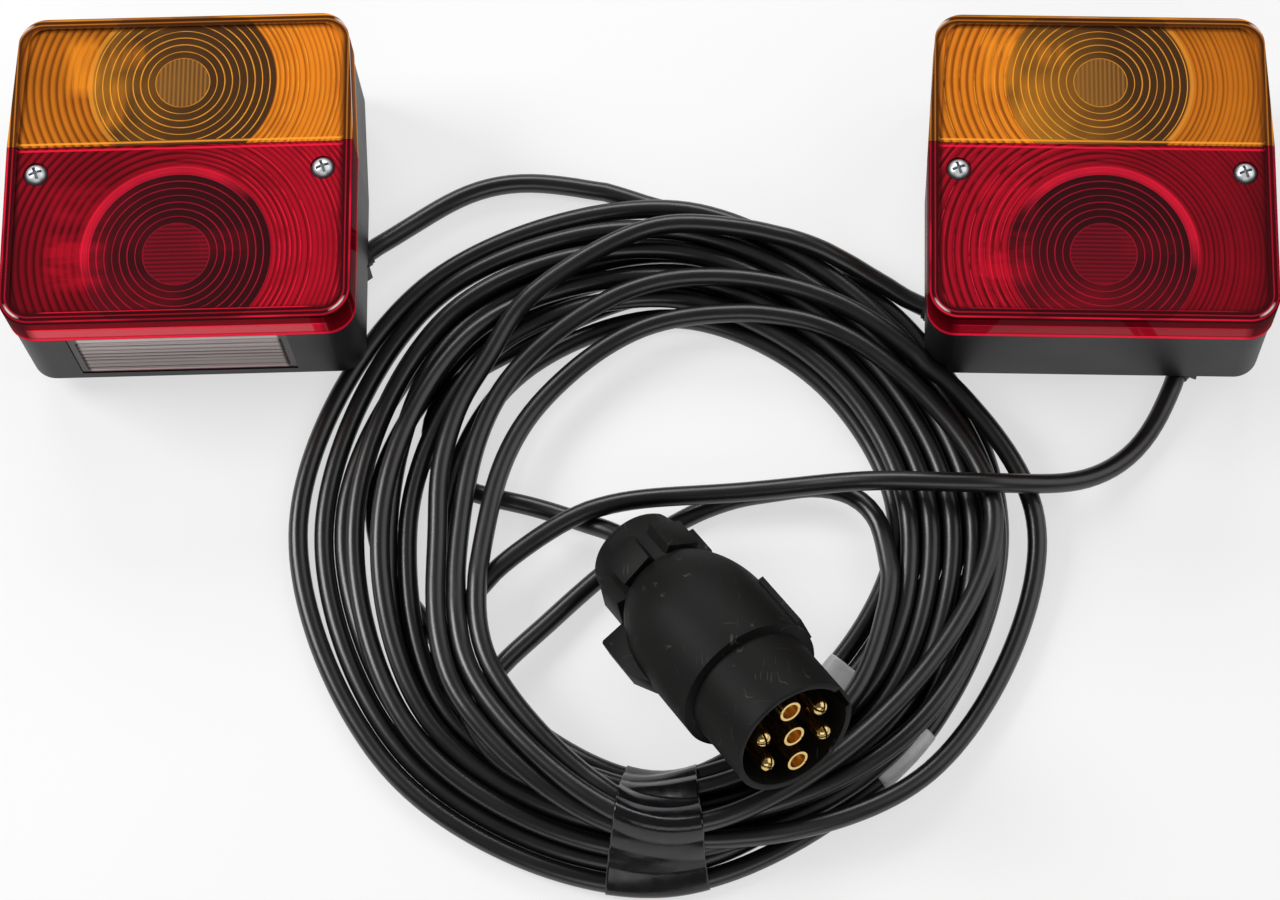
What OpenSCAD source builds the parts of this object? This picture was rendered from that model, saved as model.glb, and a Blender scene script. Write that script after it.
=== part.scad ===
// A magnetic trailer light kit as it lies on a table: two square rear lamps on pot
// magnets, a seven-contact trailer plug, the lead from the plug to the right lamp, and
// the link lead between the lamps, with most of both leads wound in one taped coil.
// Millimetres. The origin is on the table, midway between the lamps. +X runs from the
// left lamp to the right lamp, and +Z is up, the way that the lenses face.

/* [Lamps] */
// Width of a lamp, across its lenses
lamp_w = 104; // [88:1:126]
// Depth of a lamp, from the indicator edge to the number plate edge
lamp_d = 100; // [83:1:122]
// Corner radius of a lamp, seen from the lens side
lamp_corner_r = 8.5; // [6:0.5:11]
// How much the indicator lens narrows towards its far edge, on each side
lamp_pinch = 1.8; // [0.5:0.1:3]
// Distance between the middles of the two lamps
lamp_spacing = 277; // [270:1:330]
// Turn of the left lamp on the table
left_turn = 1.6; // [0:0.1:3]
// Turn of the right lamp on the table
right_turn = -0.9; // [-3:0.1:0]

/* [Base housing] */
// Depth of the base housing
base_h = 32; // [28:1:40]
// Wall thickness of the base housing
base_wall = 2.2; // [1.6:0.1:3]
// Floor thickness of the base housing
base_floor = 2.6; // [2:0.1:4]
// Step from the lens edge in to the base wall
base_inset = 0.6; // [0.3:0.1:1.5]
// Thickness of the light barrier between the two chambers
barrier_t = 1.6; // [1:0.1:2.4]

/* [Lenses] */
// Height of the lenses above the base
lens_h = 14; // [11:0.5:18]
// Side wall thickness of a lens
lens_wall = 2; // [1.5:0.1:3]
// Thickness of the lens face, without its prisms
lens_face = 2; // [1.5:0.1:3]
// Width of the raised rim round the lens face
rim_w = 3.2; // [2:0.1:5]
// Height of the raised rim above the lens face
rim_h = 0.8; // [0.4:0.1:1.5]
// Place of the joint between the lenses, from the middle of the lamp
seam_y = 7.3; // [4:0.1:11]
// Gap in the joint between the lenses
seam_gap = 0.2; // [0.1:0.05:0.5]
// Width of one ring of the optics
ring_pitch = 2.3; // [1.8:0.1:3.2]
// Depth of the ring and line prisms
prism_h = 0.9; // [0.5:0.1:1.2]
// Width of one line of the middle disc
line_pitch = 1.35; // [1:0.05:2]
// Middle of the indicator optics, from the lamp's far edge
amber_edge = 22; // [20:0.5:24]
// Middle of the stop optics, from the lamp's near edge
red_edge = 21.5; // [19:0.5:25]
// Radius of the line disc in the indicator lens
amber_disc_r = 8; // [6:0.1:10]
// Radius of the line disc in the stop lens
red_disc_r = 9.8; // [7:0.1:12]
// Distance of each lens screw from the lamp's side
screw_edge = 9; // [8:0.5:12]
// Place of the lens screws along the depth of the lamp
screw_y = -1.4; // [-4:0.1:1]
// Shank diameter of a lens screw
screw_d = 3.5; // [3:0.1:4.5]
// Head diameter of a lens screw
screw_head_d = 7; // [6:0.1:8.5]

/* [Plate window] */
// Width of the number plate window in the left lamp
window_w = 66; // [50:1:72]
// Height of the base wall left below the number plate window
window_sill = 3.5; // [3:0.5:12]
// Middle of the window, from the middle of the lamp
window_x = -2; // [-4:0.5:4]
// Thickness of the window
window_t = 2; // [1.5:0.1:2.4]

/* [Magnets] */
// Diameter of a pot magnet
magnet_d = 66; // [54:1:80]
// Thickness of a pot magnet
magnet_h = 9; // [8:0.5:12]
// Wall of the steel cup round the magnet ring
cup_wall = 2.2; // [1.6:0.1:3]
// Diameter of the middle bolt of a magnet
bolt_d = 5; // [4:0.5:6]

/* [Bulbs] */
// Diameter of a bulb's cap
bulb_cap_d = 15; // [14:0.1:16]
// Diameter of a bulb's glass
bulb_glass_d = 22; // [18:0.5:24]
// Height of the bulbs' axis above the base floor
bulb_axis_h = 17; // [15:0.5:20]

/* [Plug] */
// Length of the plug, from the cable nut to the rim of the sleeve
plug_l = 90; // [86:1:94]
// Radius of the plug's front sleeve
sleeve_r = 19.2; // [17:0.1:20]
// Length of the front sleeve, ahead of the body's rim
sleeve_l = 24; // [20:0.5:27]
// Wall of the front sleeve
sleeve_wall = 1.9; // [1.4:0.1:2.6]
// Radius of the plug's body at its front rim
plug_body_r = 22; // [21:0.1:23]
// Radius of the cable nut
plug_nut_r = 14.8; // [13:0.1:15]
// Length of the cable nut
plug_nut_l = 20.5; // [17:0.5:23]
// Radius of the circle of six contacts
contact_ring_r = 11; // [10:0.1:12]
// Outer diameter of a tube contact
tube_contact_d = 6.6; // [6.2:0.1:7.2]
// Bore of a tube contact
tube_contact_bore = 5; // [4.5:0.1:5.4]
// Diameter of a pin contact
pin_contact_d = 5; // [4.5:0.1:5.4]
// Depth of the contact tips behind the sleeve's rim
contact_recess = 4.5; // [3:0.5:8]
// Turn of the contacts about the plug's axis
contact_turn = 9; // [0:1:20]
// Place of the middle of the plug's mouth
plug_mouth = [46, -175.5, 50];
// Heading of the plug on the table
plug_heading = -54.6; // [-60:0.1:-50]
// Rise of the plug towards its mouth
plug_rise = 23; // [20:0.5:24]

/* [Leads and coil] */
// Diameter of the leads
lead_d = 6; // [5:0.1:7.2]
// Place of the middle of the coil
coil_centre = [4, -98];
// Inner radius of the coil
coil_in_r = 63; // [57:1:66]
// Outer radius of the coil
coil_out_r = 105; // [98:1:106]
// Height of the coil
coil_h = 17; // [14:0.5:17.5]
// Width of the black tape round the coil
tape_w = 26; // [18:1:32]
// Width of the pale tie round the coil
tie_w = 14; // [8:1:20]

/* [Hidden] */
$fn = 64;
lean = 0.01;
tangent_play = 0.006;
fit_clear = 0.05;

// Heights in a lamp, from the table
base_z = magnet_h;
lens_z = base_z + base_h;
face_z = lens_z + lens_h - rim_h;
top_z = lens_z + lens_h;
floor_z = base_z + base_floor;
bulb_z = floor_z + bulb_axis_h;

// Middles of the optics and of the screws, from the middle of the lamp
amber_y = lamp_d / 2 - amber_edge;
red_y = red_edge - lamp_d / 2;
screw_x = lamp_w / 2 - screw_edge;

// The window's lower edge, and the groove that holds it
window_z = base_z + window_sill;
window_h = base_h - window_sill;
window_lap = 1.2;

// Screw posts and the fit of the screws
post_d = 8;
screw_pilot_d = screw_d - 0.6;
screw_hole_d = screw_d + 0.5;
screw_head_h = 2.2;
screw_end_z = base_z + 12;
screw_seat_z = face_z - 0.6;

// The gasket that the lenses are pressed on
gasket_t = 1.4;
gasket_w = 3.2;
rebate = 0.6;

// Bulb carrier and bulbs
carrier_edge = 14;
carrier_x = carrier_edge - lamp_w / 2;
carrier_t = 0.8;
carrier_w = 2 * min(14, amber_y - seam_y - 2.5);
holder_wall = 0.5;
holder_l = 15;
bulb_seat_x = carrier_x + carrier_t + 2.2;
bulb_cap_l = 15;
bulb_glass_l = 30;
bulb_wall = 0.8;
spring_w = 6;
terminal_l = 26;
terminal_x = 14;
terminal_y = -8;

// Guide for a lead under a lamp, and its grommet
guide_w = 12;
guide_l = 11;
guide_setback = 3;
grommet_d = lead_d + 1.2;
flange_d = grommet_d + 0.7;
flange_l = 2;
grommet_l = guide_l + 3;
lead_axis_z = 5;
guide_clear = 0.5;

// Plug
tip_z = plug_l - contact_recess;
insert_front_z = plug_l - sleeve_l - 2;
insert_h = 12;
tube_out_l = tip_z - insert_front_z;
lug_w = 11;
lug_l = 11;
lug_setback = 0.3;
lug_out = 1.7;
insert_screw_d = 2.4;
insert_screw_r = 6.3;
rib_w = 10;
rib_out = 1.1;
key_w = 9;
body_z = plug_l - sleeve_l;
shell_wall = 2.4;
nut_wall = 5;
neck_z = 7;
neck_r = 10.6;
neck_bore_r = 7.6;
neck_draft = 0.015;
seal_l = 9;

// Coil section
coil_mid_r = (coil_in_r + coil_out_r) / 2;
coil_half_w = (coil_out_r - coil_in_r) / 2;
tape_t = 0.6;
tie_t = 0.5;
band_clear = 0.15;
coil_bottom = tape_t + 0.3;
coil_mid_z = coil_bottom + coil_h / 2;
lamp_clear = 1;

// Places of the lead exits in a lamp's own frame: [x, y, heading]
left_exit = [lamp_w / 2 - 1, -8.2, 35];
right_link_exit = [1 - lamp_w / 2, -26.2, 155];
right_main_exit = [26.5, 2 - lamp_d / 2, -110];

// Routes of the leads where they aren't coiled, in order along each lead. Their heights
// are those of a lead 6 mm thick, and a thicker one lies higher by what it is thicker.
route_lead_d = 6;
left_link_route = [
    [-74, 3, 3.2], [-63, 11, 3.1], [-52, 16, 3.1], [-41, 18, 3.1],
    [-30, 17.5, 3.1], [-18, 14.6, 3.1], [-7, 11.2, 3.1], [4, 8.8, 3.1]
];
right_link_route = [
    [79, -21.5, 3.5]
];
main_lamp_route = [
    [159, -60, 3.8], [153, -70, 3.1], [144, -78, 4.5], [133, -84, 9],
    [122, -87, 15], [110, -88.5, 19.5], [97, -89, 21.3], [83, -88.5, 21.3],
    [70, -88, 20.8], [56, -87.5, 16], [40, -88, 12.5], [24, -89, 11.2],
    [8, -90, 11.2], [-8, -92, 11.2], [-22, -97, 11.2], [-34, -104, 10.5],
    [-44, -112, 10], [-53.3, -120, 9.5]
];
plug_route = [
    [-9, -101, 9.6], [-15, -97.8, 6], [-22, -94.5, 3.6], [-31, -91, 3.1], [-42, -88, 3.5],
    [-56.4, -86, 8]
];
crossing_route = [
    [64.4, -93, 9], [54, -88, 6], [42, -86, 3.3], [28, -88, 3.1], [15, -93, 3.1],
    [3, -100.5, 3.1], [-8, -109, 3.1], [-19, -119, 3.1], [-30, -130, 4.5],
    [-40.6, -140.6, 8.5]
];

function arc(c, r, a0, a1, steps) = [for (i = [0 : steps])
    let (a = a0 + (a1 - a0) * i / steps) c + r * [cos(a), sin(a)]];

// Outline of a lamp, seen from the lens side, with every edge moved in by g. The sides
// are parallel up to the joint between the lenses and then lean in. A leaning side ends a
// hair inside its corner's arc, so that the two cross cleanly.
function tangent_point(p, c, r) =
    let (v = p - c, far = norm(v), a = atan2(v[1], v[0]) + acos(r / far))
    c + (r - tangent_play) * [cos(a), sin(a)];

module lamp_outline(g = 0) {
    r = lamp_corner_r - g;
    half_w = lamp_w / 2 - lamp_corner_r;
    half_d = lamp_d / 2 - lamp_corner_r;
    far_w = half_w - lamp_pinch;
    bend = [lamp_w / 2 - g, seam_y];
    touch = tangent_point(bend, [far_w, half_d], r);
    right = [
        [half_w, g - lamp_d / 2], [lamp_w / 2 - g, -half_d], bend, touch,
        [far_w, lamp_d / 2 - g]
    ];
    left = [for (i = [len(right) - 1 : -1 : 0]) [-right[i][0], right[i][1]]];
    polygon(concat(right, left));
    for (s = [-1, 1]) {
        translate([s * half_w, -half_d]) circle(r);
        translate([s * far_w, half_d]) circle(r);
    }
}

module lamp_block(g, z0, z1) {
    translate([0, 0, z0]) linear_extrude(z1 - z0) lamp_outline(g);
}

// The half plane on one side of the joint between the lenses
module seam_side(side, gap, z0, z1) {
    y = side > 0 ? seam_y + gap / 2 : seam_y - gap / 2 - lamp_d;
    translate([-lamp_w, y, z0]) cube([2 * lamp_w, lamp_d, z1 - z0]);
}

module at_screws() {
    for (s = [-1, 1]) translate([s * screw_x, screw_y, 0]) children();
}

// One mould for both bases. The left one has the opening for the plate window.
module base_shape(exits, window) {
    inner_g = base_inset + base_wall;
    difference() {
        union() {
            difference() {
                lamp_block(base_inset, base_z, lens_z - rebate);
                lamp_block(inner_g, floor_z, lens_z);
            }
            difference() {
                lamp_block(base_inset + base_wall / 2, floor_z, lens_z);
                lamp_block(inner_g, floor_z - 1, lens_z + 1);
            }
            intersection() {
                union() {
                    translate([-lamp_w / 2, seam_y - barrier_t / 2, floor_z - lean])
                        cube([lamp_w, barrier_t, base_h - base_floor - gasket_t]);
                    at_screws() translate([0, 0, floor_z - lean])
                        cylinder(h = base_h - base_floor - 2, d = post_d);
                    translate([0, 0, floor_z - lean])
                        cylinder(h = 3, d = bolt_d + 12);
                }
                lamp_block(inner_g - lean, base_z, lens_z);
            }
            difference() {
                for (e = exits) lead_guide(e);
                translate([0, 0, -1]) cylinder(h = base_z + 1, d = magnet_d + 2);
            }
        }
        at_screws() translate([0, 0, screw_end_z - 1])
            cylinder(h = base_h, d = screw_pilot_d);
        translate([0, 0, base_z - 1]) cylinder(h = base_floor + 6, d = bolt_d + 0.4);
        for (e = exits) lead_passage(e);
        if (window) window_opening();
    }
}

// A lead leaves through a guide moulded under the floor, and comes up behind it
module at_exit(e) {
    translate([e[0], e[1], lead_axis_z]) rotate([0, 0, e[2]]) children();
}

module lead_guide(e) {
    at_exit(e) translate([-guide_setback - guide_l, -guide_w / 2, guide_clear - lead_axis_z])
        cube([guide_l, guide_w, base_z - guide_clear + 0.5]);
}

module lead_passage(e) {
    at_exit(e) {
        translate([-guide_setback - guide_l - 1, 0, 0]) rotate([0, 90, 0])
            cylinder(h = guide_l + 2, d = grommet_d + 2 * fit_clear);
        translate([-guide_setback - guide_l + 4, 0, 0])
            cylinder(h = base_h / 2, d = grommet_d + 1);
        translate([-guide_setback + lean / 2, 0, 0]) rotate([0, 90, 0])
            cylinder(h = flange_l + lean, d = flange_d + fit_clear);
    }
}

module grommet_shape(e) {
    at_exit(e) rotate([0, 90, 0]) translate([0, 0, -guide_setback - guide_l + 1])
        difference() {
            union() {
                cylinder(h = grommet_l - 1, d = grommet_d);
                translate([0, 0, guide_l - 1 + lean]) cylinder(h = flange_l, d = flange_d);
            }
            translate([0, 0, -1]) cylinder(h = grommet_l - 2, d = lead_d);
        }
}

module window_opening() {
    wall_y = -lamp_d / 2 + base_inset;
    translate([window_x - window_w / 2 + window_lap, wall_y - 1, window_z + window_lap])
        cube([window_w - 2 * window_lap, base_wall + 2, window_h]);
    translate([window_x - window_w / 2, wall_y - 1, window_z])
        cube([window_w, window_t + 1, window_h + 1]);
}

module plate_window_shape() {
    wall_y = -lamp_d / 2 + base_inset;
    rib = 0.35;
    ribs = floor((window_h - 8) / 1.2);
    x0 = window_x - window_w / 2 + 0.1;
    translate([x0, wall_y + rib, window_z + 0.1])
        cube([window_w - 0.2, window_t - rib, window_h - 0.2 - rebate]);
    for (i = [0 : ribs - 1])
        translate([x0 + 2, wall_y + rib, window_z + 3 + 1.2 * i])
            rotate([0, 90, 0]) cylinder(h = window_w - 4.2, r = rib, $fn = 6);
}

module gasket_shape() {
    difference() {
        lamp_block(base_inset + base_wall, lens_z - gasket_t, lens_z);
        lamp_block(base_inset + base_wall + gasket_w, lens_z - gasket_t - 1, lens_z + 1);
        at_screws() translate([0, 0, lens_z - 2 * gasket_t])
            cylinder(h = 4 * gasket_t, d = post_d);
    }
}

// Sawtooth rings under a lens face, from the middle disc outwards
module ring_prisms(r0, r1) {
    count = floor((r1 - r0) / ring_pitch);
    teeth = [for (i = [0 : count - 1], k = [0, 1])
        [r0 + ring_pitch * (i + k), k == 0 ? 0 : -prism_h]];
    rotate_extrude($fn = 96) polygon(concat(
        [[r0, prism_h]], teeth, [[r0 + ring_pitch * count, prism_h]]));
}

module line_prisms(r, along_y) {
    count = floor(r / line_pitch);
    intersection() {
        translate([0, 0, -prism_h]) cylinder(h = 2 * prism_h, r = r);
        rotate([0, 0, along_y ? 0 : 90])
            for (i = [-count : count])
                translate([i * line_pitch, 0, 0]) rotate([90, 0, 0])
                    cylinder(h = 2 * r + 1, r = line_pitch * 0.56, center = true, $fn = 6);
    }
}

module lens_shape(side, centre_y, disc_r, lines_along_y) {
    under_z = face_z - lens_face;
    difference() {
        union() {
            difference() {
                lamp_block(0, lens_z, top_z);
                lamp_block(lens_wall, lens_z - 1, under_z);
                lamp_block(rim_w, face_z, top_z + 1);
            }
            intersection() {
                translate([0, centre_y, under_z + lean]) {
                    ring_prisms(disc_r, lamp_w * 0.7);
                    line_prisms(disc_r - 0.2, lines_along_y);
                }
                lamp_block(rim_w + 1, under_z - 2 * prism_h, under_z + 0.5);
                seam_side(side, 2 * lens_wall + 1, lens_z, top_z);
            }
            intersection() {
                lamp_block(lens_wall - lean, lens_z + 2, face_z - lean);
                translate([-lamp_w, seam_y - (side > 0 ? 0 : lens_wall), lens_z])
                    cube([2 * lamp_w, lens_wall, lens_h]);
            }
            if (side < 0) at_screws() translate([0, 0, lens_z + 0.2])
                cylinder(h = face_z - lens_z - 1, d = post_d);
        }
        seam_side(-side, -seam_gap, lens_z - 1, top_z + 1);
        if (side < 0) at_screws() {
            translate([0, 0, lens_z - 1]) cylinder(h = lens_h + 4, d = screw_hole_d);
            translate([0, 0, screw_seat_z]) cylinder(h = 4, d = screw_head_d + 0.6);
        }
        if (side > 0) at_screws() translate([0, 0, lens_z - 1])
            cylinder(h = lens_h + 4, d = post_d + 0.4);
    }
}

// A pan head screw with a cross recess
module lens_screw() {
    dome_r = (screw_head_d * screw_head_d / 4 + screw_head_h * screw_head_h)
        / (2 * screw_head_h);
    difference() {
        union() {
            translate([0, 0, screw_end_z + 2])
                cylinder(h = screw_seat_z - screw_end_z - 2 + lean, d = screw_pilot_d);
            translate([0, 0, screw_end_z]) cylinder(h = 2, r1 = 0.6, r2 = screw_pilot_d / 2);
            intersection() {
                translate([0, 0, screw_seat_z + screw_head_h - dome_r]) sphere(dome_r);
                translate([0, 0, screw_seat_z]) cylinder(h = 4, d = screw_head_d);
            }
        }
        for (a = [0, 90]) rotate([0, 0, a + 20])
            translate([-screw_head_d * 0.29, -0.45, screw_seat_z + 0.9])
                cube([screw_head_d * 0.58, 0.9, 4]);
    }
}

// Sheet steel carrier with a drawn sleeve for each bulb
module bulb_carrier_shape() {
    foot = 10;
    hole_y = carrier_w / 2 - 4;
    top = bulb_z + bulb_cap_d / 2 + 3;
    difference() {
        union() {
            for (y = [amber_y, red_y]) {
                translate([carrier_x, y - carrier_w / 2, floor_z])
                    cube([carrier_t, carrier_w, top - floor_z]);
                translate([carrier_x, y - carrier_w / 2, floor_z])
                    cube([foot, carrier_w, carrier_t]);
                translate([carrier_x, y, bulb_z]) rotate([0, 90, 0])
                    cylinder(h = holder_l, d = bulb_cap_d + 0.2 + 2 * holder_wall);
            }
        }
        for (y = [amber_y, red_y]) {
            translate([carrier_x - 1, y, bulb_z]) rotate([0, 90, 0])
                cylinder(h = holder_l + 2, d = bulb_cap_d + 0.2);
            for (s = [-1, 1])
                translate([carrier_x + foot / 2, y + s * hole_y, floor_z - 1])
                    cylinder(h = 3, d = 3);
        }
    }
}

module bulb_cap_shape(y) {
    translate([bulb_seat_x, y, bulb_z]) rotate([0, 90, 0]) {
        cylinder(h = bulb_cap_l, d = bulb_cap_d);
        translate([0, 0, -1]) cylinder(h = 1 + lean, d = 6);
    }
}

module bulb_glass_shape(y) {
    neck_r = bulb_cap_d / 2 - 1;
    globe_r = bulb_glass_d / 2;
    mid = bulb_glass_l - globe_r;
    translate([bulb_seat_x + bulb_cap_l, y, bulb_z]) rotate([0, 90, 0])
        rotate_extrude() difference() {
            union() {
                square([neck_r, mid]);
                translate([0, mid]) circle(globe_r);
            }
            translate([-2 * globe_r, -globe_r]) square([2 * globe_r, 3 * bulb_glass_l]);
            translate([0, -globe_r]) square([2 * globe_r, globe_r]);
            translate([0, mid]) circle(globe_r - bulb_wall);
            square([neck_r - bulb_wall, mid]);
        }
}

// Leaf springs that press on the foot contact of each bulb
module contact_springs_shape() {
    for (y = [amber_y, red_y]) {
        translate([carrier_x - 3.2, y - spring_w / 2, floor_z])
            cube([0.5, spring_w, bulb_z - floor_z + 5]);
        translate([carrier_x - 2.7 - lean, y, bulb_z]) rotate([0, 90, 0])
            cylinder(h = bulb_seat_x - carrier_x + 1.5, d = 3.4);
        translate([carrier_x - 3.2, y - spring_w / 2, floor_z])
            cube([2.4, spring_w, 0.5]);
    }
}

// Screw terminals for the cores of the leads
module terminal_block_shape() {
    translate([terminal_x, terminal_y - terminal_l / 2, floor_z]) difference() {
        union() {
            cube([9, terminal_l, 3]);
            for (i = [0 : 3]) translate([0.5, 0.6 + i * terminal_l / 4, 2.9])
                cube([8, terminal_l / 4 - 1.2, 7]);
        }
        for (i = [0 : 3]) translate([4.5, terminal_l / 8 + i * terminal_l / 4, 6]) {
            cylinder(h = 6, d = 3);
            rotate([0, 90, 0]) cylinder(h = 12, d = 2.6, center = true);
        }
    }
}

module magnet_cup_shape() {
    difference() {
        translate([0, 0, 0.3]) cylinder(h = magnet_h - 0.3, d = magnet_d, $fn = 96);
        translate([0, 0, -1]) cylinder(h = magnet_h - 1.6, d = magnet_d - 2 * cup_wall);
        cylinder(h = magnet_h + 1, d = bolt_d + 0.4);
    }
}

module magnet_ring_shape() {
    difference() {
        cylinder(h = magnet_h - 2.6, d = magnet_d - 2 * cup_wall - 0.8, $fn = 96);
        translate([0, 0, -1]) cylinder(h = magnet_h, d = 20);
    }
}

// Countersunk bolt through the cup and the base floor, with its nut inside
module magnet_bolt_shape() {
    head_z = magnet_h - 2.6;
    translate([0, 0, head_z - 2.4]) difference() {
        union() {
            cylinder(h = 2.4, d = 2 * bolt_d);
            cylinder(h = base_floor + 15, d = bolt_d);
        }
        translate([0, 0, -1]) cylinder(h = 2.6, d = bolt_d * 0.75, $fn = 6);
    }
}

module magnet_nut_shape() {
    translate([0, 0, floor_z + 3]) difference() {
        cylinder(h = 4.2, d = bolt_d * 1.9, $fn = 6);
        translate([0, 0, -1]) cylinder(h = 7, d = bolt_d + 0.05);
    }
}

module left_place() {
    translate([-lamp_spacing / 2, 0, 0]) rotate([0, 0, left_turn]) children();
}

module right_place() {
    translate([lamp_spacing / 2, 0, 0]) rotate([0, 0, right_turn]) children();
}

// The plug, along its own +Z axis from the cable nut to the mouth. Its own -X is up.
module plug_place() {
    translate(plug_mouth) rotate([0, 90 - plug_rise, plug_heading])
        translate([0, 0, -plug_l]) children();
}

module around(angle) {
    rotate([0, 0, 180 - angle]) children();
}

// Outline of the shell: the dome behind, the straight barrel, its rim and the sleeve
module shell_profile(inset) {
    r = plug_body_r - inset;
    back_r = 12.5 - inset;
    dome_l = 26;
    dome_r = (dome_l * dome_l + (r - back_r) * (r - back_r)) / (2 * (r - back_r));
    z0 = plug_nut_l - 4;
    intersection() {
        translate([0, plug_nut_l + inset]) square([r, body_z - plug_nut_l - 2 * inset]);
        union() {
            translate([r - dome_r, z0 + dome_l]) circle(dome_r, $fn = 128);
            translate([0, z0 + dome_l]) square([r, body_z - z0 - dome_l]);
        }
    }
}

module plug_shell_shape() {
    difference() {
        union() {
            rotate_extrude() shell_profile(0);
            translate([0, 0, neck_z])
                cylinder(h = plug_nut_l + shell_wall - neck_z, r = neck_r);
            translate([0, 0, body_z - 3]) cylinder(h = sleeve_l + 3, r = sleeve_r);
            side_rib();
            side_wing();
        }
        rotate_extrude() shell_profile(shell_wall);
        neck_bore(neck_z - 1, plug_nut_l + 2 * shell_wall - 1, 0);
        translate([0, 0, body_z - shell_wall - 1])
            cylinder(h = sleeve_l + 9, r = sleeve_r - sleeve_wall);
        around(82) translate([sleeve_r - sleeve_wall - 0.6, -key_w / 2, plug_l - 7])
            cube([1.5, key_w, 8]);
    }
}

// The neck's bore opens a little towards the nut, as a moulded bore does
module neck_bore(from, to, clearance) {
    translate([0, 0, from]) cylinder(h = to - from,
        r1 = neck_bore_r + neck_draft * (plug_nut_l - from) - clearance,
        r2 = neck_bore_r + neck_draft * (plug_nut_l - to) - clearance);
}

// Flat pad along the right flank, and the thumb wing on the left flank
module side_rib() {
    around(84) translate([plug_body_r - 3, -rib_w / 2, body_z - 24.5])
        cube([3 + rib_out, rib_w, 21]);
}

module side_wing() {
    wing_r = plug_body_r + 3.4;
    around(-96) rotate([90, 0, 0]) translate([0, 0, -3.5]) linear_extrude(7)
        polygon([
            [10, plug_nut_l + 1], [wing_r - 0.6, plug_nut_l + 2.5], [wing_r, plug_nut_l + 3.2],
            [wing_r, plug_nut_l + 17], [plug_body_r, plug_nut_l + 25], [10, plug_nut_l + 25]
        ]);
}

// Six-sided cable nut with a lug on each corner and a rounded back
module plug_nut_shape() {
    back = 3;
    nut_h = plug_nut_l - 0.5;
    difference() {
        union() {
            intersection() {
                rotate_extrude() polygon(concat(
                    [[0, 0]], arc([plug_nut_r - back, back], back, -90, 0, 6),
                    [[plug_nut_r, nut_h], [0, nut_h]]));
                around(37) translate([0, 0, -1])
                    cylinder(h = nut_h + 2, r = plug_nut_r * 1.09, $fn = 6);
            }
            for (i = [0 : 5]) around(37 + 60 * i)
                translate([plug_nut_r - 3, -lug_w / 2, nut_h - lug_l - lug_setback])
                    cube([3 + lug_out, lug_w, lug_l]);
        }
        translate([0, 0, nut_wall]) cylinder(h = plug_nut_l, r = neck_r + 0.2);
        translate([0, 0, -1]) cylinder(h = 10, d = lead_d + 1);
    }
}

// Rubber seal, squeezed round the lead by the nut
module plug_seal_shape() {
    difference() {
        union() {
            neck_bore(nut_wall, nut_wall + seal_l, fit_clear);
            translate([0, 0, nut_wall])
                cylinder(h = neck_z - nut_wall - fit_clear, r = neck_r);
        }
        translate([0, 0, nut_wall - 1]) cylinder(h = seal_l + 2, d = lead_d);
    }
}

module at_contacts(which) {
    for (i = which) around(contact_turn + 60 * i) translate([contact_ring_r, 0, 0]) children();
}

// Moulded insert that carries the contacts, with a key at its edge
module plug_insert_shape() {
    difference() {
        union() {
            translate([0, 0, insert_front_z - insert_h])
                cylinder(h = insert_h, r = sleeve_r - sleeve_wall - 0.15);
            translate([0, 0, insert_front_z - insert_h])
                cylinder(h = body_z - shell_wall - 0.1 - insert_front_z + insert_h - 1,
                    r = plug_body_r - shell_wall - 0.2);
            around(180) translate([sleeve_r - sleeve_wall - 3, -2, insert_front_z - lean])
                cube([2.6, 4, 3]);
        }
        translate([0, 0, insert_front_z - insert_h - 1]) {
            cylinder(h = insert_h + 2, d = tube_contact_d + 2 * fit_clear);
            at_contacts([0, 3]) cylinder(h = insert_h + 2, d = tube_contact_d + 2 * fit_clear);
            at_contacts([1, 2, 4, 5])
                cylinder(h = insert_h + 2, d = pin_contact_d + 2 * fit_clear);
            at_insert_screws() cylinder(h = insert_h + 2, d = insert_screw_d + 2 * fit_clear);
        }
    }
}

module tube_contact() {
    z0 = insert_front_z - insert_h - 6;
    difference() {
        translate([0, 0, z0]) cylinder(h = tip_z - z0, d = tube_contact_d);
        translate([0, 0, tip_z - 16]) cylinder(h = 17, d = tube_contact_bore);
        translate([0, 0, z0 - 1]) cylinder(h = 7, d = 3.2);
        translate([0, 0, z0 + 2.6]) rotate([0, 90, 0]) cylinder(h = 8, d = 2.2);
    }
}

// A solid pin, split by a cross cut so that its tip springs
module pin_contact() {
    z0 = insert_front_z - insert_h - 6;
    pin_r = pin_contact_d / 2;
    difference() {
        union() {
            translate([0, 0, z0]) cylinder(h = tip_z + 1.5 - pin_r - z0, r = pin_r);
            translate([0, 0, tip_z + 1.5 - pin_r]) sphere(pin_r, $fn = 48);
        }
        for (a = [0, 90]) rotate([0, 0, a + 25])
            translate([-pin_r - 1, -0.3, tip_z - 9]) cube([2 * pin_r + 2, 0.6, 12]);
        translate([0, 0, z0 - 1]) cylinder(h = 7, d = 3);
    }
}

module at_insert_screws() {
    for (a = [30, 210]) around(contact_turn + a) translate([insert_screw_r, 0, 0]) children();
}

module insert_screws_shape() {
    at_insert_screws() difference() {
        union() {
            translate([0, 0, insert_front_z - insert_h - 2])
                cylinder(h = insert_h + 2.1, d = insert_screw_d);
            translate([0, 0, insert_front_z]) cylinder(h = 1.6, d = 4);
        }
        translate([-3, -0.35, insert_front_z + 0.8]) cube([6, 0.7, 2]);
    }
}

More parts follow.
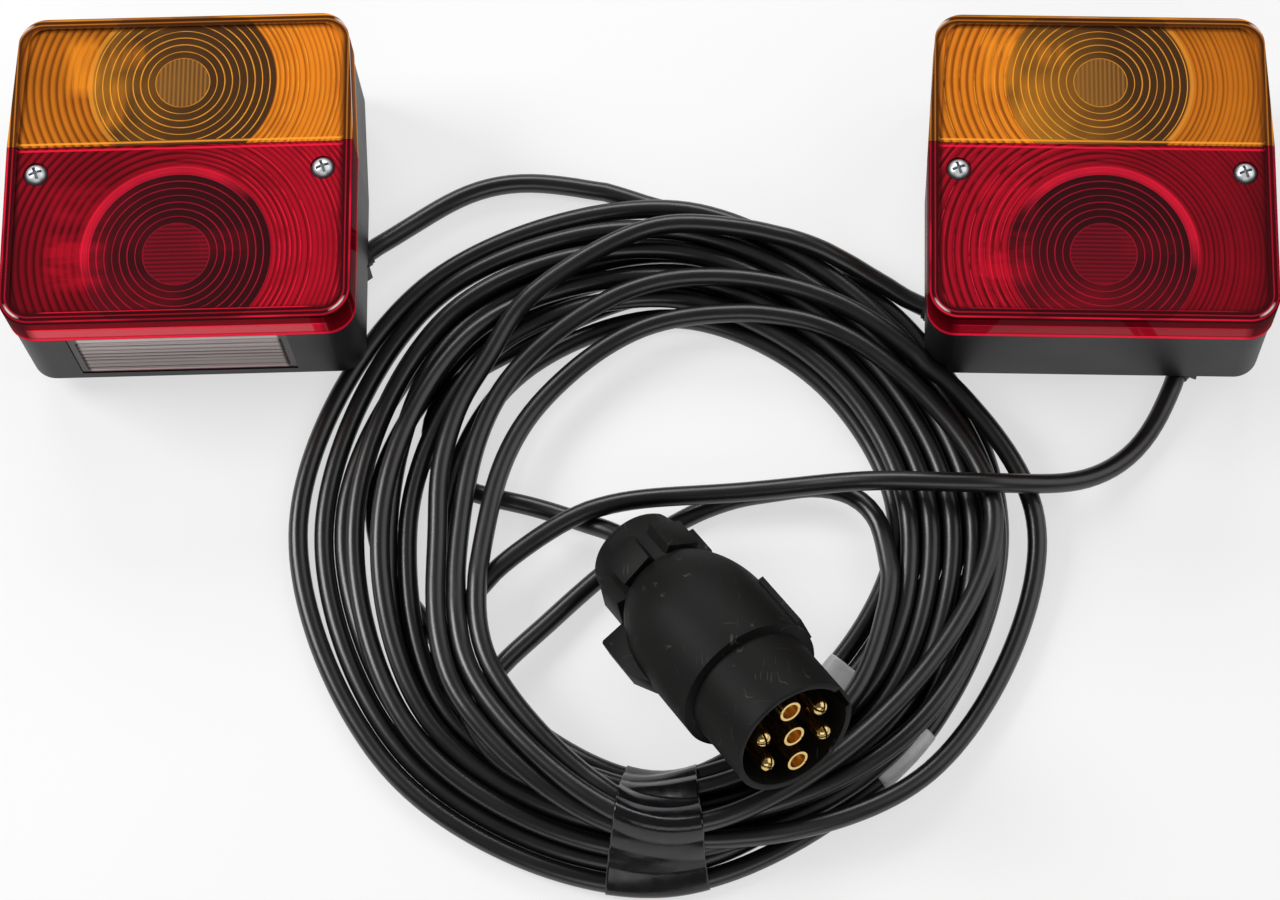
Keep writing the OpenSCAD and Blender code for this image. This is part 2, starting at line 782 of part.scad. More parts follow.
// A round lead swept along its route. Points between the route's own come from a
// Catmull-Rom curve, and the rings of the sweep stay upright because no lead is vertical.
function curve_at(p, i, t) =
    let (
        n = len(p) - 1,
        a = i > 0 ? p[i - 1] : 2 * p[0] - p[1],
        b = p[i],
        c = p[i + 1],
        d = i < n - 1 ? p[i + 2] : 2 * p[n] - p[n - 1]
    )
    0.5 * (2 * b + (c - a) * t + (2 * a - 5 * b + 4 * c - d) * t * t
        + (3 * b - a - 3 * c + d) * t * t * t);
function curve(p, steps) = concat(
    [for (i = [0 : len(p) - 2], k = [0 : steps - 1]) curve_at(p, i, k / steps)],
    [p[len(p) - 1]]);
function unit(v) = v / norm(v);
function heading(p, i) = unit(p[min(i + 1, len(p) - 1)] - p[max(i - 1, 0)]);
function ring_at(c, t, r, sides) =
    let (side = unit(cross(t, [0, 0, 1])), up = cross(side, t))
    [for (k = [0 : sides - 1])
        c + r * (cos(360 * k / sides) * side + sin(360 * k / sides) * up)];

function lifted(route) = [for (q = route) q + [0, 0, (lead_d - route_lead_d) / 2]];

module swept_lead(route, steps = 1, sides = 10) {
    p = curve(route, steps);
    n = len(p);
    // Rings are drawn a little large, so that the flats straddle the true round
    r = lead_d / 2 / cos(90 / sides);
    rings = [for (i = [0 : n - 1]) ring_at(p[i], heading(p, i), r, sides)];
    walls = [for (i = [0 : n - 2], k = [0 : sides - 1])
        [i * sides + k, (i + 1) * sides + k,
            (i + 1) * sides + (k + 1) % sides, i * sides + (k + 1) % sides]];
    polyhedron(
        points = [for (ring = rings, q = ring) q],
        faces = concat(
            [[for (k = [0 : sides - 1]) k]], walls,
            [[for (k = [sides - 1 : -1 : 0]) (n - 1) * sides + k]]));
}

// Where a lead meets its grommet, and the point a little further on
function turned(v, a) = [v[0] * cos(a) - v[1] * sin(a), v[0] * sin(a) + v[1] * cos(a)];
function exit_point(e, middle_x, turn, out) =
    let (p = turned([e[0], e[1]] + out * [cos(e[2]), sin(e[2])], turn))
    [p[0] + middle_x, p[1], lead_axis_z];
function exit_start(e, middle_x, turn) = [
    exit_point(e, middle_x, turn, grommet_end),
    exit_point(e, middle_x, turn, grommet_end + 5)
];
grommet_end = grommet_l - 1 - guide_setback - guide_l + 1;

// The plug's rear, and the lead's first points behind it
plug_axis = [
    cos(plug_rise) * cos(plug_heading), cos(plug_rise) * sin(plug_heading),
    sin(plug_rise)
];
function behind_plug(out) = plug_mouth - (plug_l + out) * plug_axis;

// Section of the coil, flat above and below and round at its edges, grown by g
module coil_section(g = 0) {
    r = coil_h / 2 + g;
    run = coil_half_w - coil_h / 2;
    translate([coil_mid_r, coil_mid_z]) {
        square([2 * run, 2 * r], center = true);
        for (s = [-1, 1]) translate([s * run, 0]) circle(r);
    }
}

module band_section(t) {
    difference() {
        coil_section(band_clear + t);
        coil_section(band_clear);
    }
}

module lamp_room() {
    left_place() lamp_block(-lamp_clear, -1, top_z);
    right_place() lamp_block(-lamp_clear, -1, top_z);
}

module cable_coil_shape() {
    difference() {
        translate([coil_centre[0], coil_centre[1], 0]) rotate_extrude($fn = 128) coil_section();
        lamp_room();
    }
}

module band(angle, width, t) {
    sweep = width / coil_mid_r * 180 / PI;
    translate([coil_centre[0], coil_centre[1], 0]) rotate([0, 0, angle - sweep / 2])
        rotate_extrude(angle = sweep, $fn = 128) band_section(t);
}

// Named pieces

module left_base() color("#1c1c1c") left_place() base_shape([left_exit], true);
module right_base() color("#1c1c1c") right_place()
    base_shape([right_link_exit, right_main_exit], false);
module gasket() color("#3a3a3a") gasket_shape();
module red_lens() color("#c01020", 0.85) lens_shape(-1, red_y, red_disc_r, false);
module amber_lens() color("#f08a10", 0.85) lens_shape(1, amber_y, amber_disc_r, true);
module lens_screws() color("#d8d8d8") at_screws() lens_screw();
module bulb_carrier() color("#b9b9b0") bulb_carrier_shape();
module bulb_glass(y) color("#e8f0f4", 0.5) bulb_glass_shape(y);
module bulb_cap(y) color("#c9a14a") bulb_cap_shape(y);
module contact_springs() color("#c58a3c") contact_springs_shape();
module terminal_block() color("#e6e2d8") terminal_block_shape();
module magnet_cup() color("#9a9ea2") magnet_cup_shape();
module magnet_ring() color("#4a4a4e") magnet_ring_shape();
module magnet_bolt() color("#c4c6c8") magnet_bolt_shape();
module magnet_nut() color("#c4c6c8") magnet_nut_shape();
module left_grommet() color("#2a2a2a") left_place() grommet_shape(left_exit);
module right_grommets() color("#2a2a2a") right_place() {
    grommet_shape(right_link_exit);
    grommet_shape(right_main_exit);
}
module plate_window() color("#dfe6ea", 0.6) plate_window_shape();
module plug_shell() color("#202020") plug_place() plug_shell_shape();
module plug_nut() color("#262626") plug_place() plug_nut_shape();
module plug_seal() color("#3c3c3c") plug_place() plug_seal_shape();
module plug_insert() color("#181818") plug_place() plug_insert_shape();
module plug_tube_contacts() color("#d4a640") plug_place() {
    tube_contact();
    at_contacts([0, 3]) tube_contact();
}
module plug_pin_contacts() color("#d4a640") plug_place() at_contacts([1, 2, 4, 5])
    pin_contact();
module plug_insert_screws() color("#c4c6c8") plug_place() insert_screws_shape();
module main_lead_lamp_end() color("#151515") swept_lead(concat(
    exit_start(right_main_exit, lamp_spacing / 2, right_turn), lifted(main_lamp_route)));
module main_lead_plug_end() color("#151515") swept_lead(concat(
    [behind_plug(0), behind_plug(5)], lifted(plug_route)));
module main_lead_crossing() color("#151515") swept_lead(lifted(crossing_route));
module link_lead_left_end() color("#151515") swept_lead(concat(
    exit_start(left_exit, -lamp_spacing / 2, left_turn), lifted(left_link_route)));
module link_lead_right_end() color("#151515") swept_lead(concat(
    exit_start(right_link_exit, lamp_spacing / 2, right_turn), lifted(right_link_route)));
module cable_coil() color("#151515") cable_coil_shape();
module coil_tape() color("#0c0c0c") band(-91, tape_w, tape_t);
module coil_tie() color("#c9c9c9") band(-44, tie_w, tie_t);

left_base();
left_place() gasket();  // left_gasket
left_place() red_lens();  // left_red_lens
left_place() amber_lens();  // left_amber_lens
left_place() lens_screws();  // left_lens_screws
left_place() bulb_carrier();  // left_bulb_carrier
left_place() bulb_glass(amber_y);  // left_indicator_bulb
left_place() bulb_cap(amber_y);  // left_indicator_cap
left_place() bulb_glass(red_y);  // left_stop_bulb
left_place() bulb_cap(red_y);  // left_stop_cap
left_place() contact_springs();  // left_contact_springs
left_place() terminal_block();  // left_terminal_block
left_place() magnet_cup();  // left_magnet_cup
left_place() magnet_ring();  // left_magnet_ring
left_place() magnet_bolt();  // left_magnet_bolt
left_place() magnet_nut();  // left_magnet_nut
left_grommet();
left_place() plate_window();  // left_plate_window
right_base();
right_place() gasket();  // right_gasket
right_place() red_lens();  // right_red_lens
right_place() amber_lens();  // right_amber_lens
right_place() lens_screws();  // right_lens_screws
right_place() bulb_carrier();  // right_bulb_carrier
right_place() bulb_glass(amber_y);  // right_indicator_bulb
right_place() bulb_cap(amber_y);  // right_indicator_cap
right_place() bulb_glass(red_y);  // right_stop_bulb
right_place() bulb_cap(red_y);  // right_stop_cap
right_place() contact_springs();  // right_contact_springs
right_place() terminal_block();  // right_terminal_block
right_place() magnet_cup();  // right_magnet_cup
right_place() magnet_ring();  // right_magnet_ring
right_place() magnet_bolt();  // right_magnet_bolt
right_place() magnet_nut();  // right_magnet_nut
right_grommets();
plug_shell();
plug_nut();
plug_seal();
plug_insert();
plug_tube_contacts();
plug_pin_contacts();
plug_insert_screws();
main_lead_lamp_end();
main_lead_plug_end();
main_lead_crossing();
link_lead_left_end();
link_lead_right_end();
cable_coil();
coil_tape();
coil_tie();
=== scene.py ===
"""Magnetic trailer light kit: two square lamps, a seven-contact plug and one taped coil of cable."""
import math

import bpy
import numpy as np
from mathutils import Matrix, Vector


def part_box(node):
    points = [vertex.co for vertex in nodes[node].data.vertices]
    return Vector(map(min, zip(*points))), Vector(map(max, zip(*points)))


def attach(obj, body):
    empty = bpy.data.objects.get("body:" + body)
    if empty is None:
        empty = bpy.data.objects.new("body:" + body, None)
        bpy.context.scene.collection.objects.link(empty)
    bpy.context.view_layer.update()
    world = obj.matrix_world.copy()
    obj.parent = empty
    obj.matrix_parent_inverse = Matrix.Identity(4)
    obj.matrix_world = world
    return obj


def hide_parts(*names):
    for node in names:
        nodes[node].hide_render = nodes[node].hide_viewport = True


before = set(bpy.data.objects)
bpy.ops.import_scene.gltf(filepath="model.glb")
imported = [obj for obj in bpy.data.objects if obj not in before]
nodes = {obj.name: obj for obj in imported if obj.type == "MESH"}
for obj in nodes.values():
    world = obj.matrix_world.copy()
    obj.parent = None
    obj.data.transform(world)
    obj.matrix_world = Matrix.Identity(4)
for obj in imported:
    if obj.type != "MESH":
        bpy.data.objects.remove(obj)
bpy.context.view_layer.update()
bpy.ops.object.select_all(action="DESELECT")

MM = 0.001

# The lamps: middle along X in millimetres and turn in degrees of each; and half sizes, corners
# and underside of their bases
LAMPS = {"left": (-138.5, 1.6), "right": (138.5, -0.9)}
BASE_HALF = (51.4, 49.4)
BASE_CORNER = 8.5
BASE_UNDERSIDE = 9.0

# The plug, in millimetres: middle of its mouth, its heading and rise, and its length to the rear
PLUG_MOUTH = np.array([46, -175.5, 50.0])
PLUG_HEADING = math.radians(-54.6)
PLUG_RISE = math.radians(23)
PLUG_LENGTH = 90
PLUG_AXIS = np.array([
    math.cos(PLUG_RISE) * math.cos(PLUG_HEADING),
    math.cos(PLUG_RISE) * math.sin(PLUG_HEADING),
    math.sin(PLUG_RISE),
])
PLUG_REAR = PLUG_MOUTH - PLUG_LENGTH * PLUG_AXIS
# Radius that the cable keeps clear of, at places along the plug from its rear
PLUG_PROFILE = (
    (-0.5, 0), (0, 15), (14, 16.2), (20, 16.2), (24, 17.5), (30, 20.5), (40, 22.2),
    (66, 22.2), (66.1, 19.4), (90, 19.4), (90.5, 0),
)

# The cable, in millimetres: its thickness, how far strands' middles stay apart, the length of
# the steps it is settled in, and the middle of its coil
LEAD_D = 6.0
LEAD_GAP = LEAD_D + 0.05
STEP = 3.4
COIL_MIDDLE = (8.0, -96.0)

# Routes of the leads where they aren't coiled, close to the CAD model's own
LEFT_LINK_ROUTE = [
    (-87.3, -6.8, 5), (-83.3, -3.8, 5), (-74, 3, 3.2), (-63, 11, 3.1), (-52, 16, 3.1),
    (-41, 18, 3.1), (-30, 17.5, 3.1), (-18, 14.6, 3.1), (-7, 11.2, 3.1), (4, 8.8, 3.1),
]
RIGHT_LINK_ROUTE = [(79, -21.5, 5.8), (82.6, -23.2, 5.2), (87.1, -25.4, 5)]
MAIN_LAMP_ROUTE = [
    (164.2, -48.4, 5), (162.4, -53.1, 5), (159, -60, 3.8), (153, -70, 3.1), (144, -78, 4.5),
    (133, -84, 9), (122, -87, 15), (110, -88.5, 19.5), (97, -89, 21.3), (83, -88.5, 21.3),
    (70, -88, 20.8), (56, -87.5, 16), (40, -88, 12.5), (24, -89, 11.2), (8, -90, 11.2),
    (-8, -92, 11.2), (-22, -97, 11.2),
]
PLUG_ROUTE = [
    (-9, -101, 9.6), (-15, -97.8, 6), (-22, -94.5, 3.6), (-31, -91, 3.1), (-42, -88, 3.1),
]
CROSSING_ROUTE = [
    (75.5, -110, 10), (73, -98, 9.5), (66, -89, 8), (54, -85, 5), (42, -86, 3.3), (28, -88, 3.1),
    (15, -93, 3.1), (3, -100.5, 3.1), (-8, -109, 3.1), (-19, -119, 3.1), (-30, -130, 4.5),
    (-40.6, -140.6, 8.5),
]

# Each turn of the coil: the height it is laid at, and its radius at eight places round the
# coil, clockwise from the left. A pair gives a place its own height, and None leaves it out.
# The cable then settles under its own weight.
STATIONS = (180, 135, 90, 45, 0, -45, -90, -135)
CLIMB_FROM = 5
MAIN_TURNS = [
    (3.2, (75, 77, 76, 72, 76, 74, 88, 86)),
    (3.2, ((68, 9), (67, 6), 68, 66, 70, 68, 82, 78)),
    (3.2, (91, 86, 84, 78, 82, 80, 94, 93)),
    (3.2, ((83, 9.5), (90, 9.5), 91, 84, 88, 86, 100, 100)),
    (5.5, (100, (94, 9.5), 98, 90, 94, 92, 106, 106)),
    (9.8, (104, 104, 95, 88, 93, 98, 103, 101)),
    (10.5, (95, 94, 88, 82, 87, 94, 97, 95)),
    (10.5, (87, 86, 80, 76, 80, 88, 91, 88)),
    (10.5, (80, 78, 73, 70, 73, 82, 85, None)),
]
LINK_TURNS = [
    (3.5, (None, None, None, 96.5, 100, 99, 109, 110)),
    (12, (113, 110, 103, 92, 98, 97, 95, 73)),
    (19, (54, 54, 64, 80, 99, 91, 99, 79)),
    (23, (63, 67, 77, 90, (112, 6), (110, 6), 97, 82)),
]
# The rest of the link cable's last turn: angle, radius and height
LINK_END = [
    (180, 68, 27), (155, 72, 27), (138, 75, 27), (121, 83, 26), (96, 92, 25), (78, 94, 22),
    (64, 96.5, 15), (54, 100, 7),
]

# How the leads settle, in rounds of a few passes. Each kind of stretch is pulled to where it was
# laid, flat and in height, by a share a round. What isn't on a route falls, in millimetres a
# round, and slower towards the end. The plug pushes the coil only in the second half.
ROUNDS = 240
PASSES = 3
PULL = {"route": 0.25, "coil": 0.03, "crossing": 0.12}
LIFT = {"route": 0.15, "coil": 0.0, "crossing": 0.05}
FALL = (0.2, 0.05)
FALL_SLOWS_AT = 0.6
PLUG_PUSHES_COIL_AT = 0.5
# Stiffness over so many steps to each side. Below the middle reach it acts everywhere, and from
# there on it leaves the routes alone. Above it the coil keeps the curve that it was laid in.
BENDS = ((1, 0.07), (2, 0.06), (3, 0.05), (4, 0.04), (8, 0.03))
MIDDLE_REACH = 3
# Points held at each end, and points from the plug on that its push leaves alone
HELD = 3
AT_PLUG = 12
# Contact: how often neighbours are looked for, in rounds, how far beyond touching, how many
# points apart they are on one lead, how far along a strand they may be, and how hard they push
LOOK_EVERY = 8
LOOK_BEYOND = 5
POINTS_APART = 6
CONTACT_SPAN = 0.62 * STEP
CONTACT_PUSH = 1.3
LAMP_CLEARANCE = 0.1


def round_coil(angle, radius, height):
    """A point round the coil's middle, at an angle in degrees from +X."""
    a = math.radians(angle)
    return (COIL_MIDDLE[0] + radius * math.cos(a), COIL_MIDDLE[1] + radius * math.sin(a), height)


def turns(table):
    """The points of the turns, in order; each turn climbs to the next one's height near its end."""
    points = []
    for i, (height, radii) in enumerate(table):
        following = table[min(i + 1, len(table) - 1)][0]
        for k, (angle, radius) in enumerate(zip(STATIONS, radii)):
            if isinstance(radius, tuple):
                points.append(round_coil(angle, *radius))
            elif radius is not None:
                climb = max(0, (k - CLIMB_FROM) / (len(STATIONS) - CLIMB_FROM))
                points.append(round_coil(angle, radius, height + (following - height) * climb))
    return points


# Points that the smooth curve through two neighbouring route points is made of
SMOOTHING = 16


class Strand:
    """One lead as a row of points an even step apart, each with the kind of stretch it is on."""

    def __init__(self, stretches):
        points = np.array([p for kind, stretch in stretches for p in stretch], float)
        kinds = [kind for kind, stretch in stretches for _ in stretch]
        ends = np.vstack([2 * points[0] - points[1], points, 2 * points[-1] - points[-2]])
        t = np.linspace(0, 1, SMOOTHING, endpoint=False)[:, None]
        fine, place = [], []
        for i, (a, b, c, d) in enumerate(zip(ends[:-3], ends[1:-2], ends[2:-1], ends[3:])):
            bend = 2 * a - 5 * b + 4 * c - d + t * (3 * (b - c) + d - a)
            fine.append(b + 0.5 * t * (c - a + t * bend))
            place += [i + x for x in t[:, 0]]
        fine = np.vstack(fine + [points[-1:]])
        place.append(len(points) - 1)
        run = np.r_[0, np.cumsum(np.linalg.norm(np.diff(fine, axis=0), axis=1))]
        count = round(run[-1] / STEP)
        even = np.linspace(0, run[-1], count + 1)
        self.points = np.stack([np.interp(even, run, fine[:, k]) for k in range(3)], 1)
        self.kinds = np.array([kinds[round(x)] for x in np.interp(even, run, place)])
        self.step = run[-1] / count


def settle(strands, rounds):
    """Lays the leads down: gravity, stiffness, and nothing through anything else."""
    p = np.vstack([s.points for s in strands])
    kinds = np.concatenate([s.kinds for s in strands])
    owner = np.concatenate([np.full(len(s.points), i) for i, s in enumerate(strands)])
    rest = np.concatenate([np.full(len(s.points), s.step) for s in strands])
    target = p.copy()
    route, coiled = kinds == "route", kinds == "coil"
    ends = np.flatnonzero(np.diff(owner)) + 1
    starts = np.r_[0, ends]
    stops = np.r_[ends, len(p)]
    pinned = np.zeros(len(p), bool)
    for first, last in zip(starts, stops):
        pinned[first:first + HELD] = True
        pinned[last - HELD:last] = True
    segments = np.flatnonzero(owner[:-1] == owner[1:])
    bends = {}
    for w, stiffness in BENDS:
        m = np.flatnonzero(owner[:-4 * w] == owner[4 * w:]) + 2 * w
        natural = unevenness(p, m, w)
        natural[:, 2] = 0
        free = np.ones((len(m), 1)) if w < MIDDLE_REACH else 1.0 - route[m][:, None]
        bends[w] = (m, natural * (w > MIDDLE_REACH), stiffness * free)
    pull = np.array([PULL[kind] for kind in kinds])[:, None]
    lift = np.array([LIFT[kind] for kind in kinds])
    off_plug = ~pinned & ~(route & (np.arange(len(p)) < AT_PLUG))
    for n in range(rounds):
        late = n / rounds
        if n % LOOK_EVERY == 0:
            i, j = neighbours(p, owner, LEAD_GAP + LOOK_BEYOND)
        p[:, 2] -= np.where(route | pinned, 0.0, FALL[late >= FALL_SLOWS_AT])
        p[:, :2] += pull * (target[:, :2] - p[:, :2])
        p[:, 2] += lift * (target[:, 2] - p[:, 2])
        for _ in range(PASSES):
            for w, (m, natural, stiffness) in bends.items():
                p[m] -= stiffness * (unevenness(p, m, w) - natural)
            for half in (0, 1):
                s = segments[segments % 2 == half]
                d = p[s + 1] - p[s]
                long = np.linalg.norm(d, axis=1, keepdims=True)
                d *= 0.5 * (long - rest[s, None]) / long
                p[s] += d
                p[s + 1] -= d
            p += keep_apart(p, i, j)
            keep_out_of_lamps(p, ~pinned & ~route)
            keep_out_of_plug(p, off_plug & ~coiled if late < PLUG_PUSHES_COIL_AT else off_plug)
            p[:, 2] = np.maximum(p[:, 2], LEAD_D / 2)
            p[pinned] = target[pinned]
    return [p[a:b] for a, b in zip(starts, stops)]


def unevenness(p, m, w):
    """How the curve's bend changes at points m, measured over w steps to each side."""
    return p[m - 2 * w] - 4 * p[m - w] + 6 * p[m] - 4 * p[m + w] + p[m + 2 * w]


def neighbours(p, owner, reach):
    """Pairs of points closer than reach that aren't next to each other on one lead."""
    firsts, seconds = [], []
    for start in range(0, len(p), 256):
        d = p[start:start + 256, None, :] - p[None, :, :]
        i, j = np.nonzero((d * d).sum(2) < reach * reach)
        i = i + start
        apart = (owner[i] != owner[j]) | (abs(i - j) > POINTS_APART)
        firsts.append(i[apart])
        seconds.append(j[apart])
    return np.concatenate(firsts), np.concatenate(seconds)


def keep_apart(p, i, j):
    """How far each point moves so that no two strands lie in each other."""
    along = np.zeros_like(p)
    along[1:-1] = p[2:] - p[:-2]
    along[0] = p[1] - p[0]
    along[-1] = p[-1] - p[-2]
    along /= np.linalg.norm(along, axis=1, keepdims=True)
    between = p[i] - p[j]
    run = (between * along[j]).sum(1)
    across = between - run[:, None] * along[j]
    far = np.linalg.norm(across, axis=1)
    hit = (np.abs(run) < CONTACT_SPAN) & (far < LEAD_GAP)
    i, j, far, across = i[hit], j[hit], far[hit], across[hit]
    push = across / np.maximum(far, 1e-6)[:, None] * ((LEAD_GAP - far) * 0.5)[:, None]
    count = np.bincount(i, minlength=len(p)) + np.bincount(j, minlength=len(p))
    move = [np.bincount(i, push[:, k], len(p)) - np.bincount(j, push[:, k], len(p)) for k in range(3)]
    return CONTACT_PUSH * np.stack(move, 1) / np.maximum(count, 1)[:, None]


def keep_out_of_plug(p, free):
    """Moves strands away from the plug's axis, until they clear its outline."""
    along_plug, plug_radius = np.array(PLUG_PROFILE).T
    from_rear = p - PLUG_REAR
    z = from_rear @ PLUG_AXIS
    out = from_rear - z[:, None] * PLUG_AXIS
    r = np.linalg.norm(out, axis=1)
    need = np.interp(z, along_plug, plug_radius) + LEAD_D / 2
    hit = (r < need) & (z > along_plug[0]) & (z < along_plug[-1]) & free
    p[hit] += out[hit] / r[hit, None] * (need - r)[hit, None]


def keep_out_of_lamps(p, free):
    """Moves strands out of the lamps' walls, or down under them."""
    under = BASE_UNDERSIDE - LEAD_D / 2
    clear = LEAD_D / 2 + LAMP_CLEARANCE
    for middle, turn in LAMPS.values():
        c, s = math.cos(math.radians(turn)), math.sin(math.radians(turn))
        x = (p[:, 0] - middle) * c + p[:, 1] * s
        y = p[:, 1] * c - (p[:, 0] - middle) * s
        qx = np.abs(x) - BASE_HALF[0] + BASE_CORNER
        qy = np.abs(y) - BASE_HALF[1] + BASE_CORNER
        outside = np.hypot(np.maximum(qx, 0), np.maximum(qy, 0))
        outside += np.minimum(np.maximum(qx, qy), 0) - BASE_CORNER
        bad = np.flatnonzero((outside < clear) & (p[:, 2] > under) & free)
        if not len(bad):
            continue
        need, low = clear - outside[bad], p[bad, 2] - under
        gx = np.maximum(qx[bad], 0) * np.sign(x[bad])
        gy = np.maximum(qy[bad], 0) * np.sign(y[bad])
        size = np.hypot(gx, gy)
        gx = np.where(size > 0, gx / np.maximum(size, 1e-6), np.sign(x[bad]))
        gy = np.where(size > 0, gy / np.maximum(size, 1e-6), 0)
        sideways = np.where(low < need, 0, need)
        p[bad, 0] += sideways * (gx * c - gy * s)
        p[bad, 1] += sideways * (gx * s + gy * c)
        p[bad, 2] -= np.where(low < need, low, 0)


def leads():
    """The main cable, from the plug to the right lamp, and the link cable between the lamps."""
    plug_end = [tuple(PLUG_REAR), tuple(PLUG_REAR - 5 * PLUG_AXIS)] + PLUG_ROUTE
    plug_bend = [
        (-51, -86.2, 3.1), (-59.5, -81.5, 3.1), (-65, -74, 3.1), (-66.3, -65, 3.1), (-63, -56, 3.1),
    ]
    inward = [
        (-17, -178, 11), (-31, -174, 11), (-43, -168, 10.8), (-49, -159, 10.3), (-47.5, -149.5, 9.6),
    ]
    lamp_bend = [(-34, -104.5, 12), (-45, -113.5, 12), (-52.5, -124, 12), (-55.4, -134, 12)]
    inner = [
        round_coil(-20, 73, 12), round_coil(-45, 81, 15), round_coil(-68, 84, 15),
        round_coil(-90, 86, 14), round_coil(-112, 88, 14), round_coil(-126, 86, 12.5),
        round_coil(-142, 77, 12),
    ]
    main = Strand([
        ("route", plug_end), ("coil", plug_bend + turns(MAIN_TURNS)[1:]),
        ("crossing", inward + CROSSING_ROUTE[::-1]), ("coil", inner + lamp_bend[::-1]),
        ("route", MAIN_LAMP_ROUTE[::-1]),
    ])
    link = Strand([
        ("route", LEFT_LINK_ROUTE[:-3]),
        ("coil", LEFT_LINK_ROUTE[-3:-1] + turns(LINK_TURNS) + [round_coil(*p) for p in LINK_END]),
        ("route", RIGHT_LINK_ROUTE),
    ])
    return settle([main, link], ROUNDS)


def select_only(*pieces):
    """Selects these pieces and nothing else, with the first one active."""
    bpy.ops.object.select_all(action="DESELECT")
    for piece in pieces:
        piece.select_set(True)
    bpy.context.view_layer.objects.active = pieces[0]


def add_camera():
    """The camera of the photograph, which looks down past the coil's near side."""
    focal, width, middle = 3264.25, 1280, 781.5
    data = bpy.data.cameras.new("camera")
    data.sensor_width = 36
    data.lens = focal / width * data.sensor_width
    data.shift_x = (width / 2 - middle) / width
    data.clip_end = 20
    camera = bpy.data.objects.new("camera", data)
    camera.location = (0.04226, -0.41514, 0.94605)
    camera.rotation_euler = (math.radians(20), 0, 0)
    bpy.context.scene.collection.objects.link(camera)
    bpy.context.scene.camera = camera


def add_lead(name, points):
    """A lead as a curve with a round section. Its points carry the radius, because Blender's box
    of a curve reaches that far beyond them."""
    data = bpy.data.curves.new(name, "CURVE")
    data.dimensions = "3D"
    data.bevel_depth = 1.0
    data.bevel_resolution = 6
    data.use_fill_caps = True
    spline = data.splines.new("POLY")
    spline.points.add(len(points) - 1)
    flat = np.c_[points * MM, np.ones(len(points))]
    spline.points.foreach_set("co", flat.ravel())
    spline.points.foreach_set("radius", np.full(len(points), LEAD_D / 2 * MM))
    spline.use_smooth = True
    obj = bpy.data.objects.new(name, data)
    bpy.context.scene.collection.objects.link(obj)
    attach(obj, "root")
    return obj


add_camera()
main_points, link_points = leads()
main_cable = add_lead("main_cable", main_points)
link_cable = add_lead("link_cable", link_points)
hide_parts("main_lead_lamp_end", "main_lead_plug_end", "main_lead_crossing", "cable_coil")
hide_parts("link_lead_left_end", "link_lead_right_end")


class Value:
    """A shader value that Python's operators work on."""

    def __init__(self, finish, socket):
        self.finish, self.socket = finish, socket

    def math(self, operation, *others):
        """A Math node on this value and others."""
        return self.finish.node("ShaderNodeMath", {"operation": operation}, {
            i: v for i, v in enumerate((self, *others))})

    def __add__(self, other):
        return self.math("ADD", other)

    __radd__ = __add__

    def __mul__(self, other):
        return self.math("MULTIPLY", other)

    __rmul__ = __mul__

    def __sub__(self, other):
        return self.math("SUBTRACT", other)

    def __rsub__(self, other):
        return self * -1 + other

    def __truediv__(self, other):
        return self.math("DIVIDE", other)

    def __pow__(self, other):
        return self.math("POWER", other)

    def between(self, low, high):
        """0 below low, 1 above high, and straight between them."""
        return self.finish.node("ShaderNodeMapRange", {"clamp": True}, {
            "Value": self, "From Min": low, "From Max": high})

    def near(self, place, width):
        """1 at a place, falling to 0 a width away from it."""
        return 1 - (self - place).math("ABSOLUTE").between(width * 0.4, width)


